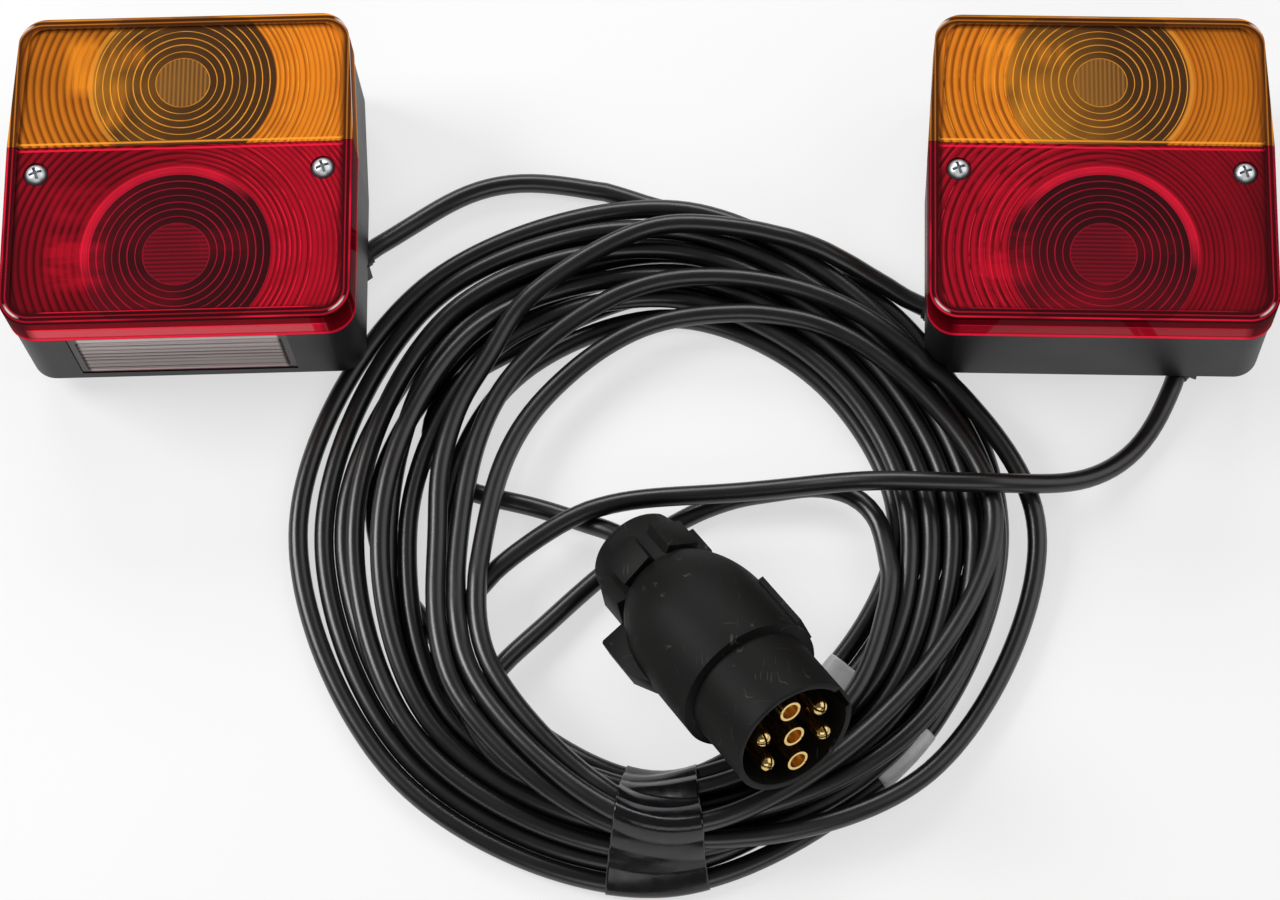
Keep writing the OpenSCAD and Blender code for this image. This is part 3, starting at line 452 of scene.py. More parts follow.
class Finish:
    """One material, built node by node round a Principled shader."""

    def __init__(self, name, **settings):
        self.material = bpy.data.materials.new(name)
        self.material.use_nodes = True
        self.tree = self.material.node_tree
        self.shader = self.tree.nodes["Principled BSDF"]
        self.set(**settings)
        self.place = self.node("ShaderNodeTexCoord", {}, {}, "Object")

    def node(self, kind, settings, inputs, output=0):
        """Adds a node with its settings, then its inputs, and gives one output."""
        made = self.tree.nodes.new(kind)
        for key, value in settings.items():
            setattr(made, key, value)
        for key, value in inputs.items():
            self.plug(made.inputs[key], value)
        return Value(self, made.outputs[output])

    def plug(self, socket, value):
        """Gives a socket a value, a colour or another node's output."""
        if isinstance(value, Value):
            self.tree.links.new(value.socket, socket)
        elif isinstance(value, tuple) and len(value) == 3 and socket.type == "RGBA":
            socket.default_value = (*value, 1)
        else:
            socket.default_value = value

    def set(self, **settings):
        """Sets sockets of the shader, such as base_color or coat_weight."""
        for key, value in settings.items():
            self.plug(self.shader.inputs[SOCKETS.get(key, key.replace("_", " ").title())], value)

    def noise(self, scale, detail=2.0, stretch=(1, 1, 1)):
        """Noise over the object, with scale in cycles a metre."""
        place = self.place
        if stretch != (1, 1, 1):
            place = self.node("ShaderNodeMapping", {}, {"Vector": place, "Scale": stretch})
        return self.node("ShaderNodeTexNoise", {}, {
            "Vector": place, "Scale": scale, "Detail": detail})

    def chance(self, value):
        """A number from 0 to 1 for each whole number that a value passes."""
        return self.node("ShaderNodeTexWhiteNoise", {"noise_dimensions": "1D"}, {
            "W": value.math("FLOOR")})

    def mix(self, factor, a, b):
        """A colour between a and b."""
        return self.node("ShaderNodeMix", {"data_type": "RGBA"}, {0: factor, 6: a, 7: b}, 2)

    def blend(self, factor, first, second):
        """Puts two shaders on the surface, by a factor."""
        mixed = self.node("ShaderNodeMixShader", {}, {0: factor})
        for i, shader in ((1, first), (2, second)):
            self.tree.links.new(getattr(shader, "socket", shader), mixed.socket.node.inputs[i])
        self.tree.links.new(mixed.socket, self.tree.nodes["Material Output"].inputs["Surface"])

    def bump(self, height, distance, strength=1.0):
        """Feeds the shader's normal with a height in shares of distance, in metres."""
        normal = self.node("ShaderNodeBump", {}, {
            "Height": height, "Distance": distance, "Strength": strength})
        self.set(normal=normal)
        return self


# Sockets of the shader whose names differ from their keywords
SOCKETS = {
    "ior": "IOR", "specular_ior_level": "Specular IOR Level", "transmission": "Transmission Weight",
}


def satin_black():
    """Moulded base plastic: a fine grain, and a sheen that varies a little."""
    f = Finish("base_plastic", base_color=(0.007, 0.007, 0.0075), roughness=0.42, specular_ior_level=0.27)
    grain = f.noise(2600, 2)
    cloud = f.noise(40, 3)
    f.set(roughness=0.38 + cloud * 0.14)
    return f.bump(grain, 0.00006, 0.5)


# The lenses' sizes, heights and optics, and the plate window's, in millimetres
LAMP_HALF = (52.0, 50.0)
RIM = 3.2
FACE_CORNER = 6.0
FACE_HEIGHT = 53.6
LENS_FOOT = 41.0
LENS_HEIGHT = 14.0
SEAM = 7.3
RING_PITCH = 2.3
LINE_PITCH = 1.35
FIELD_RADIUS = 28.4
HEAD_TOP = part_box("left_lens_screws")[1][2] / MM
WINDOW_MIDDLE = -2.0
WINDOW_HALF = 30.0
WINDOW_RIB = 2.7


class LampPlace:
    """Places on a lamp, as shader values in millimetres from the lamp's middle and the ground."""

    def __init__(self, f, side):
        middle, turn = LAMPS[side]
        local = f.node("ShaderNodeMapping", {"vector_type": "TEXTURE"}, {
            "Vector": f.place, "Location": (middle * MM, 0, 0), "Rotation": (0, 0, math.radians(turn)),
            "Scale": (MM, MM, MM)})
        self.x, self.y, self.z = (f.node("ShaderNodeSeparateXYZ", {}, {0: local}, i) for i in range(3))


class LensPlace(LampPlace):
    """Places on one colour of a lens: also from the middle of its rings, and how far outside the
    rounded inner outline of the lamp's face."""

    def __init__(self, f, side, centre_y):
        super().__init__(f, side)
        self.cloud = f.noise(28, 3)
        self.fine = f.noise(160, 2)
        self.dx, self.dy = self.x, self.y - centre_y
        self.away = (self.dx * self.dx + self.dy * self.dy).math("SQRT") + (self.cloud - 0.5) * 0.5
        self.beside = self.x.math("ABSOLUTE")
        self.front = self.y * -1
        self.qx = self.beside - (LAMP_HALF[0] - RIM - FACE_CORNER)
        self.qy = self.y.math("ABSOLUTE") - (LAMP_HALF[1] - RIM - FACE_CORNER)
        past = self.qx.math("MAXIMUM", 0.0) ** 2 + self.qy.math("MAXIMUM", 0.0) ** 2
        self.out = past.math("SQRT") - FACE_CORNER

    def towards(self, angle):
        """How far a place lies from the rings' middle, in a direction at an angle from +X."""
        a = math.radians(angle)
        return self.dx * math.cos(a) + self.dy * math.sin(a)


def plate_window():
    """The clear window, painted as lit inside: grey, lighter towards the top, with painted shade between
    fine lengthwise ribs, painted highlight lines, and painted shade at its sides and its foot.
    """
    f = Finish("clear_plastic", base_color=(0.75, 0.75, 0.76), roughness=0.08, ior=1.49, transmission=1.0)
    at = LampPlace(f, "left")
    broken = f.noise(70, 2, (0.25, 1, 1)).between(0.35, 0.6)
    rib = (at.z / WINDOW_RIB + f.noise(120, 1, (0.1, 1, 1)) * 0.3).math("FRACT")
    # Painted light of the lit inside, lighter towards the top; then painted shade along the ribs
    shade = f.mix(at.z.between(14, 36), (0.5, 0.42, 0.42), (0.8, 0.7, 0.68))
    shade = f.mix(rib.near(0.5, 0.24) * (0.25 + 0.5 * broken), shade, (0.14, 0.1, 0.1))
    # Painted highlight lines, a pale one high up and a pink one low down, then painted dark red shade at
    # the foot
    shade = f.mix(at.z.near(32.5, 0.5) * 0.7, shade, (0.9, 0.84, 0.84))
    shade = f.mix(at.z.near(14.3, 0.7), shade, (0.75, 0.4, 0.42))
    shade = f.mix(1 - at.z.between(13.2, 13.9), shade, (0.1, 0.006, 0.012))
    # Painted shade at the window's sides
    inside = 1 - (at.x - WINDOW_MIDDLE).math("ABSOLUTE").between(WINDOW_HALF - 0.4, WINDOW_HALF + 0.4)
    shade = f.mix(inside, (0.03, 0.014, 0.013), shade)
    # The painted light and shade, laid over most of the clear plastic
    dim = f.node("ShaderNodeBsdfPrincipled", {}, {
        "Base Color": shade, "Roughness": 0.3, "Specular IOR Level": 0.25})
    f.blend(0.88, f.shader.outputs[0], dim)
    return f


def prism_lines(f, at, disc, upright, to_light):
    """Where light lies on the prisms: the ring field's steps, the outer field's grooves and
    crests, and the straight lines of the disc."""
    rings = (at.away - disc) / RING_PITCH
    tooth = rings.math("FRACT")
    ring = 1 - tooth.between(0.03, 0.1 + f.chance(rings) * 0.1) + tooth.between(0.96, 1.0)
    # The outer field's grooves are finer at the right
    halves = rings * 1.5
    half, half_level = halves.math("FRACT"), f.chance(halves)
    groove_left = 1 - tooth.between(0.12, 0.5) + tooth.between(0.8, 1.0)
    groove_right = 1 - half.between(0.1, 0.3 + half_level * 0.3) + half.between(0.75, 1.0)
    groove_right = groove_right * (0.35 + 0.65 * half_level)
    groove = f.mix(at.dx.between(-2, 2), groove_left, groove_right)
    crest = half.near(0.72, 0.16) * to_light.between(4, 24) * half_level * at.fine.between(0.4, 0.55)
    rule = ((at.dx if upright else at.dy) / LINE_PITCH).math("FRACT")
    rules = 1 - rule.between(0.12, 0.4) + rule.between(0.75, 1.0)
    return ring, groove, crest, rules


def rim_marks(at, lit_front):
    """The face's rim, which is painted in shade, and the rounded edge past it; the painted highlight
    lines and corner glints on the rim, and the painted highlight line along its front."""
    in_rim = at.out.between(-1.3, 0.5)
    skirt = at.out.between(RIM - 0.5, RIM - 0.15)
    lines = at.out.near(RIM - 0.45, 0.4) * (0.35 + 0.65 * at.cloud.between(0.4, 0.55))
    lines = lines + at.out.near(1.3, 0.3) * 0.45
    glint = at.out.near(1.9, 0.45) * at.qx.math("MINIMUM", at.qy).between(2.6, 4.4)
    along_front = at.front.between(LAMP_HALF[1] - 6, LAMP_HALF[1] - 4) * (1 - at.beside.between(38, 41))
    return in_rim, skirt, lines, glint, at.out.near(-0.2, 0.4) * along_front * lit_front


def wall_marks(at, lit_front):
    """The walls' painted light: a painted highlight line at the foot, and in front a painted glossy band
    under a second highlight line; and how light the rest of the wall is painted, darker towards the top."""
    up = (at.z - LENS_FOOT) / LENS_HEIGHT
    in_front = at.front.between(LAMP_HALF[1] - 1.2, LAMP_HALF[1] - 0.4) * (1 - at.beside.between(42, 45))
    band = up.between(0.14, 0.2) * (1 - up.between(0.52, 0.58)) * in_front * lit_front
    foot_line = up.near(0.07, 0.09) * (0.5 + 0.5 * in_front)
    lines = foot_line.math("MAXIMUM", up.near(0.58, 0.05) * in_front * lit_front)
    return band, lines, in_front * 0.4 * lit_front + up.between(0.7, 0.2) * 0.2 + 0.08


def painted_holder_light(f, at, upright, patches):
    """Blurred, streaked patches of painted light where the bulb holders show through."""
    streak = f.noise(100, 3, stretch=(3.2, 0.35, 1) if upright else (0.5, 2.2, 1))
    patch = 0.0
    for x, y, half_x, half_y, strength in patches:
        across = 1 - ((at.dx - x).math("ABSOLUTE") - half_x).between(-1.5, 2.5)
        along = 1 - ((at.dy - y).math("ABSOLUTE") - half_y).between(-1.5, 3)
        patch = (across * along * strength).math("MAXIMUM", patch)
    return patch * (0.25 + 0.75 * streak.between(0.38, 0.56))


def shaded(colour, share):
    """A colour made darker or lighter by a share."""
    return tuple(min(1, c * share) for c in colour)


def lens_plastic(name, side, arc_angle, lit_angle, centre_y, disc, upright, tint, bright, dark, line,
                 rim, groove_light, disc_light, brightest, arc_width, even, patches):
    """Tinted lens plastic: clear, with painted light, shade and glow for what the prisms under its face
    catch.
    """
    f = Finish(name, base_color=tint, roughness=0.03, ior=1.49, transmission=1.0)
    at = LensPlace(f, side, centre_y)
    # Which way the painted light grows across the outer field, and how much painted light the front gets
    to_light, lit_front = (at.dx, 1.0) if side == "left" else (at.dx * -1, 0.4)
    ring, groove, crest, rules = prism_lines(f, at, disc, upright, to_light)
    in_rim, skirt, outer_lines, glint, front_line = rim_marks(at, lit_front)
    past_seam = (at.y - SEAM) * (1 if upright else -1)
    # A painted highlight line along the seam between the two colours
    joint_light = past_seam.near(1.1, 0.45) * (1 - in_rim)
    clear_of_edges = (1 - in_rim) * past_seam.between(1.5, 1.8)
    outside = at.away.between(FIELD_RADIUS - 0.2, FIELD_RADIUS + 0.3)
    in_disc = 1 - at.away.between(disc - 0.15, disc + 0.15)
    # Painted highlights on the rings' edges, inside the field and clear of the rim and the seam
    edge = ring * (1 - outside) * (1 - in_disc) * clear_of_edges
    # A painted reflection of the parts inside: a bright arc just inside the field's edge, on one side
    facing = at.towards(arc_angle) / (at.away + 0.01)
    arc = at.away.near(FIELD_RADIUS - arc_width * 0.6, arc_width) * facing.between(0.15, 0.55)
    arc = arc * (0.7 + 0.3 * at.cloud.between(0.4, 0.6)) * clear_of_edges
    # Painted light where the bulb holders show through, stronger on the rings' edges
    patch = painted_holder_light(f, at, upright, patches) * (0.55 + 0.45 * ring)
    # The outer field: painted light, brightest towards the light, and uneven away from it
    glow = to_light.between(-20, 34) * 0.5 + at.cloud.between(0.3, 0.7) * 0.35 + even
    glow = glow - (at.out + 6).between(0, 7) * 0.2
    ridge = f.mix(glow, shaded(bright, 0.28), bright)
    around = f.mix(groove, ridge, f.mix(glow, shaded(bright, 0.1), groove_light))
    around = f.mix(crest, around, brightest)
    # The rings' field: painted shade, with painted light on the side that the daylight comes through and
    # painted highlights on the rings' edges, most at the sides
    lit_side = at.towards(lit_angle).between(-8, 26) * at.cloud.between(0.32, 0.6)
    sides = (at.dx.math("ABSOLUTE") / (at.away + 0.01)).between(0.1, 0.95)
    field = f.mix(lit_side * 0.65, dark, line)
    field = f.mix(edge * (0.45 + 0.35 * sides + 0.4 * at.fine.between(0.35, 0.6)), field, line)
    field = f.mix(in_disc * (0.3 + 0.65 * rules), field, disc_light)
    colour = f.mix(outside, field, around)
    colour = f.mix(arc, colour, brightest)
    # The bulb holders' painted light, then painted shade on the rim
    colour = f.mix(patch * 0.85, colour, shaded(bright, 1.2))
    colour = f.mix(in_rim, colour, rim)
    # Painted highlights: lines on the rim, along the seam and along the front, and corner glints
    shine = (outer_lines.math("MAXIMUM", joint_light) * 0.7).math("MAXIMUM", front_line * 0.8)
    colour = f.mix(shine, colour, brightest)
    colour = f.mix(glint * 0.8, colour, (1.0, 0.75, 0.72))
    # The walls round the face: painted light and shade, with painted highlight lines and a painted glossy
    # band in front
    face = at.z.between(FACE_HEIGHT - 0.1, FACE_HEIGHT + 0.1)
    wall = (1 - face) * at.z.between(LENS_FOOT - 0.1, LENS_FOOT + 0.1)
    band, wall_lines, lightness = wall_marks(at, lit_front)
    wall_colour = f.mix(lightness, rim, bright)
    wall_colour = f.mix(wall_lines.math("MAXIMUM", band * 0.75), wall_colour, brightest)
    colour = f.mix(wall, colour, wall_colour)
    # Painted glow: the painted highlight lines, the arc and the wall lines also shine by emission
    painted_glow = (shine * 0.5 + edge * 0.3 + arc * 0.5) * (1 - wall) + wall * (wall_lines + band * 0.35)
    coat = 1 - skirt.math("MAXIMUM", wall) * (0.95 - 0.5 * band)
    lit = f.node("ShaderNodeBsdfPrincipled", {}, {
        "Base Color": colour, "Roughness": 0.5, "Specular IOR Level": 0.0,
        "Coat Weight": coat, "Coat Roughness": 0.03, "Coat IOR": 1.45,
        "Emission Color": f.mix(painted_glow, (0.0, 0.0, 0.0), brightest), "Emission Strength": 0.4})
    strength = face * (0.6 + 0.3 * outside + 0.3 * edge + 0.2 * patch) + face * shine * 0.4
    f.blend(strength + wall + skirt, f.shader.outputs[0], lit)
    return f


# The two tints: their optics and colours, and the patches of painted light behind them as middle
# from the rings' middle, half width, half depth and strength. Tint is the plastic's own colour;
# bright, line, groove_light, disc_light and brightest are painted light, dark and rim painted shade
RED = {
    "centre_y": -28.5, "disc": 9.8, "upright": False,
    "tint": (0.55, 0.003, 0.01), "bright": (0.56, 0.005, 0.022), "dark": (0.05, 0.005, 0.008),
    "line": (0.4, 0.006, 0.024), "rim": (0.05, 0.0008, 0.003), "groove_light": (0.11, 0.0015, 0.006),
    "disc_light": (0.36, 0.007, 0.026), "brightest": (0.9, 0.012, 0.045), "arc_width": 1.7, "even": 0.1,
    "patches": ((-30, -2, 8, 7, 0.8), (-29, 17, 8, 5, 0.4), (-8, -16, 9, 5, 0.25), (14, 3, 8, 4, 0.2)),
}
AMBER = {
    "centre_y": 28, "disc": 8, "upright": True,
    "tint": (0.9, 0.27, 0.012), "bright": (0.95, 0.27, 0.016), "dark": (0.095, 0.044, 0.014),
    "line": (0.95, 0.38, 0.035), "rim": (0.09, 0.022, 0.003), "groove_light": (0.34, 0.085, 0.006),
    "disc_light": (0.55, 0.24, 0.05), "brightest": (1.0, 0.36, 0.035), "arc_width": 0.9, "even": 0.3,
    "patches": ((-30, 6, 4.5, 8, 1.0), (-21.5, -7, 3.5, 7, 0.85), (-17, 9.5, 6, 2.5, 0.7)),
}


def plug_plastic():
    """Matt plug plastic with fine pale scratches."""
    black, pale = (0.004, 0.0037, 0.0033), (0.045, 0.043, 0.038)
    f = Finish("plug_plastic", base_color=black, roughness=0.5, specular_ior_level=0.17)
    grain = f.noise(1800, 3)
    cloud = f.noise(60, 3)
    scratches = scratch(f, 210, (1, 0.05, 0.5), 40) + scratch(f, 190, (0.05, 1, 0.6), -25)
    scratches = scratches + scratch(f, 230, (0.8, 0.05, 0.3), 100)
    f.set(base_color=f.mix(scratches.between(0, 1), black, pale))
    f.set(roughness=0.48 + cloud * 0.14)
    return f.bump(grain, 0.00008, 0.5)


def scratch(f, scale, stretch, turn):
    """Thin broken lines, one way: the places where stretched noise passes its middle."""
    place = f.node("ShaderNodeMapping", {}, {
        "Vector": f.place, "Rotation": (0.3, 0.2, math.radians(turn)), "Scale": stretch})
    wave = f.node("ShaderNodeTexNoise", {}, {"Vector": place, "Scale": scale, "Detail": 1.0})
    elsewhere = f.node("ShaderNodeMapping", {}, {"Vector": f.place, "Location": (turn, 0, 0)})
    some = f.node("ShaderNodeTexNoise", {}, {"Vector": elsewhere, "Scale": 150.0, "Detail": 1.0})
    return wave.near(0.5, 0.006) * some.between(0.6, 0.68)


def clouded(name, colour, roughness, metallic=0.0, grain=1500, depth=0.00003, **more):
    """A finish that is a little duller and darker in places, with a fine grain."""
    f = Finish(name, base_color=colour, roughness=roughness, metallic=metallic, **more)
    cloud = f.noise(220, 4).between(0.3, 0.7)
    f.set(base_color=f.mix(cloud, shaded(colour, 0.8), colour))
    f.set(roughness=roughness + (0.5 - cloud) * min(0.16, roughness))
    return f.bump(f.noise(grain, 2), depth, 0.5)


def bulb_glass():
    """Clear glass, with the faint unevenness of blown glass."""
    f = Finish("bulb_glass", base_color=(0.98, 0.98, 0.98), roughness=0.02, ior=1.49, transmission=1.0)
    return f.bump(f.noise(150, 2), 0.0002, 0.3)


def brushed(name, colour, roughness):
    """Drawn or turned metal, with fine lines one way."""
    f = Finish(name, base_color=colour, roughness=roughness, metallic=1.0)
    lines = f.noise(900, 3, stretch=(1, 0.12, 1))
    f.set(base_color=f.mix(lines.between(0.3, 0.7), shaded(colour, 0.78), colour))
    f.set(roughness=roughness + (lines - 0.5) * 0.2)
    return f.bump(lines, 0.00002, 0.5)


def sheath():
    """Cable sheath: smooth, half-gloss, with a slight waviness over the cores."""
    f = Finish("cable_sheath", base_color=(0.0036, 0.0033, 0.003), roughness=0.3, specular_ior_level=0.72)
    cloud = f.noise(60, 2)
    f.set(roughness=0.26 + cloud * 0.14)
    return f.bump(cloud, 0.0004, 0.3)


def zinc_screw():
    """Bright zinc screws, with painted shade in their recess."""
    f = Finish("zinc_screw", base_color=(0.8, 0.83, 0.85), roughness=0.4, metallic=0.55)
    height = f.node("ShaderNodeSeparateXYZ", {}, {0: f.place}, "Z") * (1 / MM)
    # Painted shade: darker from 0.5 mm below the lens screws' head tops, in their recesses and on all
    # lower zinc
    raised = height.between(HEAD_TOP - 1.4, HEAD_TOP - 0.5)
    f.set(base_color=f.mix(raised, (0.1, 0.11, 0.12), (0.9, 0.93, 0.95)))
    return f


def make_finishes():
    """Every finish, by its slot."""
    return {
        "base_plastic": satin_black(),
        "left_red_lens": lens_plastic("left_red_lens", "left", 120, 200, **RED),
        "right_red_lens": lens_plastic("right_red_lens", "right", 70, 250, **RED),
        "left_amber_lens": lens_plastic("left_amber_lens", "left", 180, 180, **AMBER),
        "right_amber_lens": lens_plastic("right_amber_lens", "right", 10, 200, **AMBER),
        "clear_plastic": plate_window(),
        "rubber": clouded("rubber", (0.02, 0.02, 0.02), 0.6, grain=2200, depth=0.00006),
        "zinc_screw": zinc_screw(),
        "zinc_sheet": brushed("zinc_sheet", (0.72, 0.72, 0.7), 0.32),
        "bulb_glass": bulb_glass(),
        "brass": brushed("brass", (0.86, 0.61, 0.24), 0.22),
        "spring_bronze": brushed("spring_bronze", (0.7, 0.42, 0.2), 0.3),
        "terminal_plastic": clouded("terminal_plastic", (0.8, 0.78, 0.72), 0.5),
        "magnet_steel": brushed("magnet_steel", (0.6, 0.6, 0.6), 0.3),
        "ferrite": clouded("ferrite", (0.05, 0.05, 0.055), 0.55, grain=1200, depth=0.00008),
        "plug_plastic": plug_plastic(),
        "insert_plastic": clouded("insert_plastic", (0.013, 0.012, 0.011), 0.5),
        "cable_sheath": sheath(),
        "black_tape": clouded("black_tape", (0.0065, 0.0065, 0.008), 0.2, specular_ior_level=0.5),
        "pale_tie": clouded("pale_tie", (0.74, 0.74, 0.74), 0.4),
        "copper": clouded("copper", (0.5, 0.23, 0.055), 0.34, 0.85),
    }


finishes = make_finishes()


def finish_nodes():
    """Gives each CAD node the finish of its slot, found by the kind of piece it is."""
    kinds = {
        "base": "base_plastic",
        "plate_window": "clear_plastic", "gasket": "rubber", "grommet": "rubber",
        "grommets": "rubber", "lens_screws": "zinc_screw", "bulb_carrier": "zinc_sheet",
        "indicator_bulb": "bulb_glass", "stop_bulb": "bulb_glass", "indicator_cap": "brass",
        "stop_cap": "brass", "contact_springs": "spring_bronze",
        "terminal_block": "terminal_plastic", "magnet_cup": "magnet_steel",
        "magnet_ring": "ferrite", "magnet_bolt": "zinc_screw", "magnet_nut": "zinc_screw",
        "plug_shell": "plug_plastic", "plug_nut": "plug_plastic", "plug_seal": "rubber",
        "plug_insert": "insert_plastic", "plug_tube_contacts": "brass",
        "plug_pin_contacts": "brass", "plug_insert_screws": "zinc_screw",
    }
    for name, obj in nodes.items():
        if obj.hide_render:
            continue
        kind = name.split("_", 1)[1] if name.startswith(("left_", "right_")) else name
        slot = name if kind.endswith("_lens") else kinds.get(kind)
        if slot:
            obj.data.materials.clear()
            obj.data.materials.append(finishes[slot].material)


main_cable.data.materials.append(finishes["cable_sheath"].material)
link_cable.data.materials.append(finishes["cable_sheath"].material)


# The bands, in millimetres: the pile's inner radius, the radius their width is measured at, how
# far they sag at most, and the height below which they lie flat
PILE_INNER = 62
BAND_RADIUS = 97
MOST_SAG = 1.3
FLAT_BELOW = 2


def section(angle, top, reach):
    """Where the leads cross the half-plane at an angle round the coil: radius and height, of the
    pile's strands that lie below top and within reach."""
    a = math.radians(angle)
    out = np.array([math.cos(a), math.sin(a)])
    side = np.array([-out[1], out[0]])
    found = []
    for points in (main_points, link_points):
        xy = points[:, :2] - COIL_MIDDLE
        across, radius = xy @ side, xy @ out
        for k in np.flatnonzero((across[:-1] * across[1:] < 0) & (radius[:-1] > 0)):
            t = across[k] / (across[k] - across[k + 1])
            found.append((radius[k] + t * (radius[k + 1] - radius[k]),
                          points[k, 2] + t * (points[k + 1, 2] - points[k, 2])))
    found = np.array(found)
    return found[(found[:, 1] < top) & (found[:, 0] > PILE_INNER) & (found[:, 0] < reach)]


def hull(points):
    """The convex outline of points in a plane, anticlockwise."""
    ordered = sorted(map(tuple, points))
    chains = []
    for run in (ordered, ordered[::-1]):
        chain = []
        for q in run:
            while len(chain) > 1:
                (ax, ay), (bx, by) = chain[-2], chain[-1]
                if (bx - ax) * (q[1] - ay) - (by - ay) * (q[0] - ax) > 0:
                    break
                chain.pop()
            chain.append(q)
        chains.append(chain[:-1])
    return np.array(chains[0] + chains[1])


def band_rings(angle, width, clearance, count, around, top, reach):
    """The sections of a band round its strands, one after another across its width: the angle
    and strands of each, and the outline in even steps."""
    rings = []
    t = np.linspace(0, 2 * math.pi, 24, endpoint=False)
    circle = (LEAD_D / 2 + clearance) * np.stack([np.cos(t), np.sin(t)], 1)
    for i in range(count):
        across = (i / (count - 1) - 0.5) * width
        turn = angle + math.degrees(across / BAND_RADIUS)
        cut = section(turn, top, reach)
        line = hull((cut[:, None, :] + circle[None]).reshape(-1, 2))
        line = np.vstack([line, line[:1]])
        run = np.r_[0, np.cumsum(np.linalg.norm(np.diff(line, axis=0), axis=1))]
        even = np.linspace(0, run[-1], around, endpoint=False)
        ring = np.stack([np.interp(even, run, line[:, k]) for k in range(2)], 1)
        first = np.argmin(np.abs(np.arctan2(*(ring - ring.mean(0)).T[::-1])))
        rings.append((turn, cut, np.roll(ring, -first, axis=0)))
    return rings


def add_band(name, slot, angle, width, clearance, thickness, count, around, sag, crease=0.0,
             top=math.inf, reach=math.inf):
    """A strip wound round the strands, as a closed sheet with a thickness. Between strands it
    sags a little, and creases run over it."""
    verts, faces = [], []
    rng = np.random.default_rng(7)
    phases = rng.uniform(0, 6.28, (4, 2))
    rings = band_rings(angle, width, clearance, count, around, top, reach)
    for i, (turn, cut, ring) in enumerate(rings):
        middle = ring.mean(0)
        for k, q in enumerate(ring):
            gap = np.linalg.norm(cut - q, axis=1).min() - LEAD_D / 2 - clearance
            inward = (middle - q) / np.linalg.norm(middle - q)
            u, v = i / (count - 1), k / around * 2 * math.pi
            fold = sum(math.sin(n * 5 * v + a) * math.sin(n * 2.6 * u + b) / n
                       for n, (a, b) in enumerate(phases, 1))
            q = q + inward * min(sag * gap, MOST_SAG) * (q[1] > FLAT_BELOW) + inward * crease * fold
            uneven = crease * 2.2 * math.sin(3 * v + phases[0][0]) * (abs(u - 0.5) * 2) ** 3
            at = round_coil(turn + uneven, q[0], max(q[1], thickness / 2 + 0.05))
            verts.append([c * MM for c in at])
    for i in range(count - 1):
        for k in range(around):
            n = (k + 1) % around
            corners = ((i, k), (i, n), (i + 1, n), (i + 1, k))
            faces.append([row * around + column for row, column in corners])
    mesh = bpy.data.meshes.new(name)
    mesh.from_pydata(verts, [], faces)
    obj = bpy.data.objects.new(name, mesh)
    bpy.context.scene.collection.objects.link(obj)
    select_only(obj)
    solid = obj.modifiers.new("thickness", "SOLIDIFY")
    solid.thickness = thickness * MM
    solid.offset = 0
    bpy.ops.object.modifier_apply(modifier="thickness")
    bpy.ops.object.shade_smooth()
    return finished(obj, slot)


def finished(obj, finish):
    """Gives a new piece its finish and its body."""
    obj.data.materials.clear()
    obj.data.materials.append(finishes[finish].material)
    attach(obj, "root")
    return obj


tape = add_band("coil_tape_wrap", "black_tape", -91, 26, 0.3, 0.3, 40, 220, sag=0.35, crease=0.06)
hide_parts("coil_tape")
tie = add_band("coil_tie_wrap", "pale_tie", -46, 20, 0.12, 0.2, 16, 120, sag=0.3, top=6, reach=105)
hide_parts("coil_tie")


# Corners of a CAD node's loose triangles that are closer than this are one, in metres
MERGE = 1e-6


def copied(name, ending):
    """A copy of a CAD node as a piece of its own, selected and active."""
    obj = bpy.data.objects.new(name + ending, nodes[name].data.copy())
    bpy.context.scene.collection.objects.link(obj)
    select_only(obj)
    return obj


def brought_forward(name, distance):
    """A copy of a row of contacts that stands further out of the plug's insert."""
    obj = copied(name, "_forward")
    obj.modifiers.new("merge", "WELD").merge_threshold = MERGE
    bpy.ops.object.modifier_apply(modifier="merge")
    bpy.ops.transform.translate(value=Vector(PLUG_AXIS) * distance * MM)
    bpy.ops.object.transform_apply(location=True, rotation=False, scale=False)
    finished(obj, "brass")
    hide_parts(name)
    return obj


# Edges sharper than this are rounded and stay unsmoothed
SHARP = math.radians(35)


def softened(name, slot, width):
    """A copy of a moulded piece with its sharp edges rounded a little."""
    obj = copied(name, "_softened")
    bpy.ops.object.mode_set(mode="EDIT")
    bpy.ops.mesh.select_all(action="SELECT")
    bpy.ops.mesh.remove_doubles(threshold=MERGE)
    bpy.ops.mesh.dissolve_limited(angle_limit=math.radians(0.5), delimit=set())
    bpy.ops.object.mode_set(mode="OBJECT")
    bevel = obj.modifiers.new("edges", "BEVEL")
    bevel.width = width * MM
    bevel.segments = 2
    bevel.limit_method = "ANGLE"
    bevel.angle_limit = SHARP
    bpy.ops.object.modifier_apply(modifier="edges")
    bpy.ops.object.shade_smooth_by_angle(angle=SHARP)
    finished(obj, slot)
    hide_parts(name)
    return obj


# The tubes' floors, in millimetres: how far below the plug's mouth, how big, and where the tubes
# stand, as radius and turn round the plug's axis
TUBE_FLOOR_DEPTH = 3.4
TUBE_FLOOR_RADIUS = 2.52
TUBE_FLOOR_THICKNESS = 0.6
TUBES = ((0, 0), (11, 9), (11, 189))


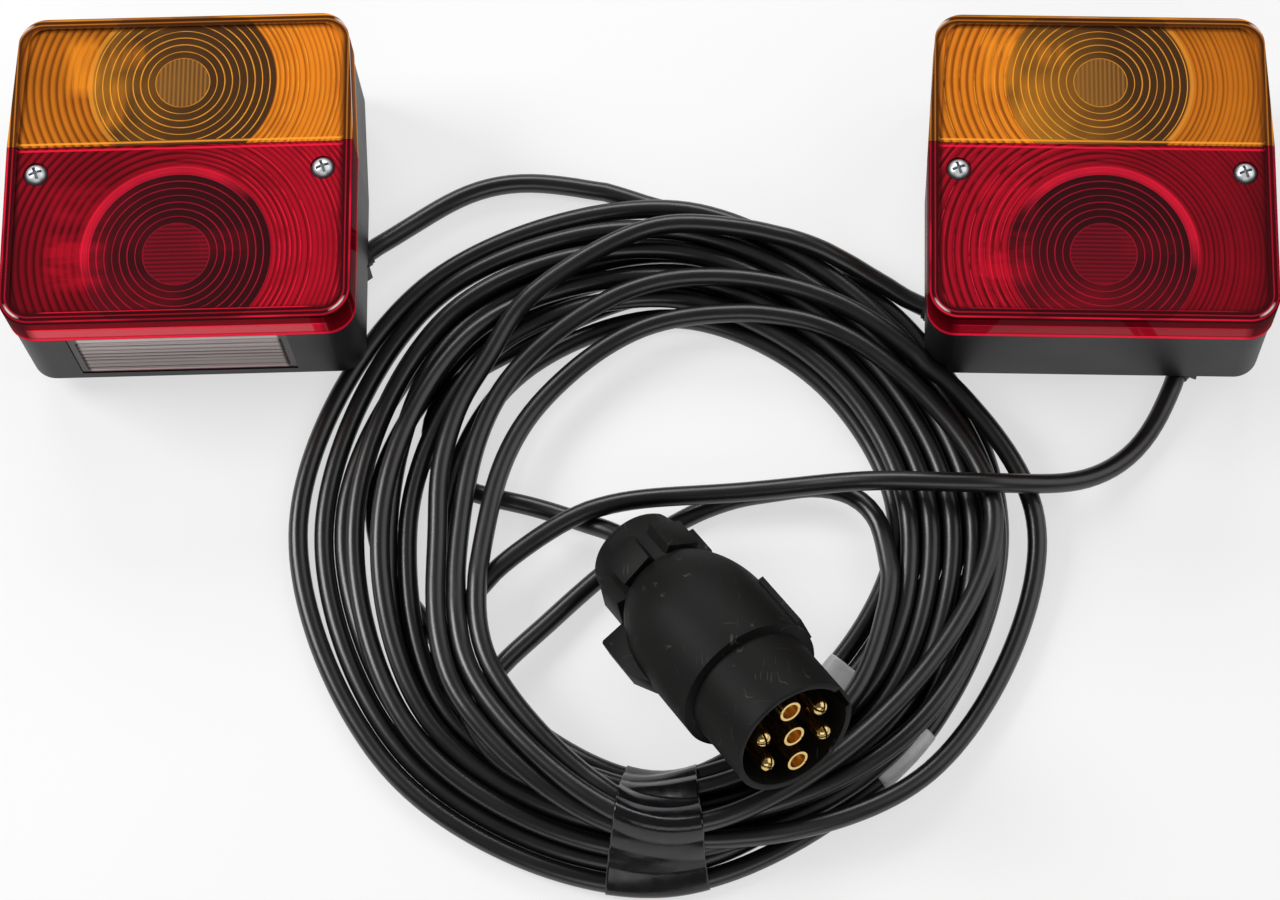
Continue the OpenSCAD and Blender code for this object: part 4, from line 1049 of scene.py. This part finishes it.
def tube_floors():
    """The coppery inside of each tube contact, a little below its rim."""
    place = PLUG_MOUTH - TUBE_FLOOR_DEPTH * PLUG_AXIS
    axis = Vector(PLUG_AXIS)
    up = Vector((0, 0, 1))
    up = (up - up.dot(axis) * axis).normalized()
    side = up.cross(axis)
    pieces = []
    for radius, turn in TUBES:
        a = math.radians(turn)
        middle = Vector(place) + radius * (up * math.cos(a) + side * math.sin(a))
        bpy.ops.object.select_all(action="DESELECT")
        bpy.ops.mesh.primitive_cylinder_add(
            vertices=32, radius=TUBE_FLOOR_RADIUS * MM, depth=TUBE_FLOOR_THICKNESS * MM,
            location=middle * MM, rotation=axis.to_track_quat("Z", "Y").to_euler())
        pieces.append(bpy.context.object)
    select_only(*pieces)
    bpy.ops.object.join()
    bpy.ops.object.transform_apply(location=True, rotation=True, scale=True)
    obj = bpy.context.object
    obj.name = "tube_floors"
    return finished(obj, "copper")


shell = softened("plug_shell", "plug_plastic", 0.35)
nut = softened("plug_nut", "plug_plastic", 0.45)
contacts = [brought_forward(name, 4.2) for name in ("plug_tube_contacts", "plug_pin_contacts")]
finish_nodes()
contacts.append(tube_floors())


tuple(main_points[-1] * MM)
tuple(link_points[0] * MM)


# How much of the floor is plain white to the camera, and in gloss and glass
FLOOR_WHITE = 0.62


def add_floor():
    """A plain pale floor, partly plain white to look at, so that it stays pale in the picture,
    in gloss and in glass, and its shadows stay soft."""
    bpy.ops.object.select_all(action="DESELECT")
    bpy.ops.mesh.primitive_plane_add(size=6, location=(0, 0, 0))
    floor = bpy.context.object
    floor.name = "floor"
    f = Finish("floor", base_color=(0.92, 0.92, 0.92), roughness=0.9, specular_ior_level=0.0)
    seen = f.node("ShaderNodeLightPath", {}, {}, "Is Camera Ray")
    for ray in ("Is Glossy Ray", "Is Transmission Ray"):
        seen = seen.math("MAXIMUM", f.node("ShaderNodeLightPath", {}, {}, ray))
    white = f.node("ShaderNodeEmission", {}, {"Color": (1.0, 1.0, 1.0), "Strength": 1.0})
    f.blend(seen * FLOOR_WHITE, f.shader.outputs[0], white)
    floor.data.materials.append(f.material)


def add_light(name, location, size, power, aim=(0.0, -0.07, 0.02)):
    data = bpy.data.lights.new(name, "AREA")
    data.shape = "RECTANGLE"
    data.size, data.size_y = size
    data.energy = power
    light = bpy.data.objects.new(name, data)
    light.location = location
    light.rotation_euler = (Vector(aim) - Vector(location)).to_track_quat("-Z", "Y").to_euler()
    bpy.context.scene.collection.objects.link(light)


def add_world():
    """A weak even white light from all round."""
    world = bpy.data.worlds.new("studio")
    world.use_nodes = True
    background = world.node_tree.nodes["Background"]
    background.inputs["Color"].default_value = (1, 1, 1, 1)
    background.inputs["Strength"].default_value = 0.12
    bpy.context.scene.world = world


add_floor()
add_light("left_softbox", (-1.1, 0.2, 0.95), (0.6, 0.6), 13)
add_light("back_softbox", (-0.2, 1.5, 1.15), (1.6, 0.7), 17)
add_light("right_softbox", (1.65, 0.25, 1.25), (2.0, 2.0), 15)
add_light("front_softbox", (0.1, -1.5, 1.0), (1.6, 0.8), 6)
add_world()
bpy.context.scene.view_settings.view_transform = "Standard"
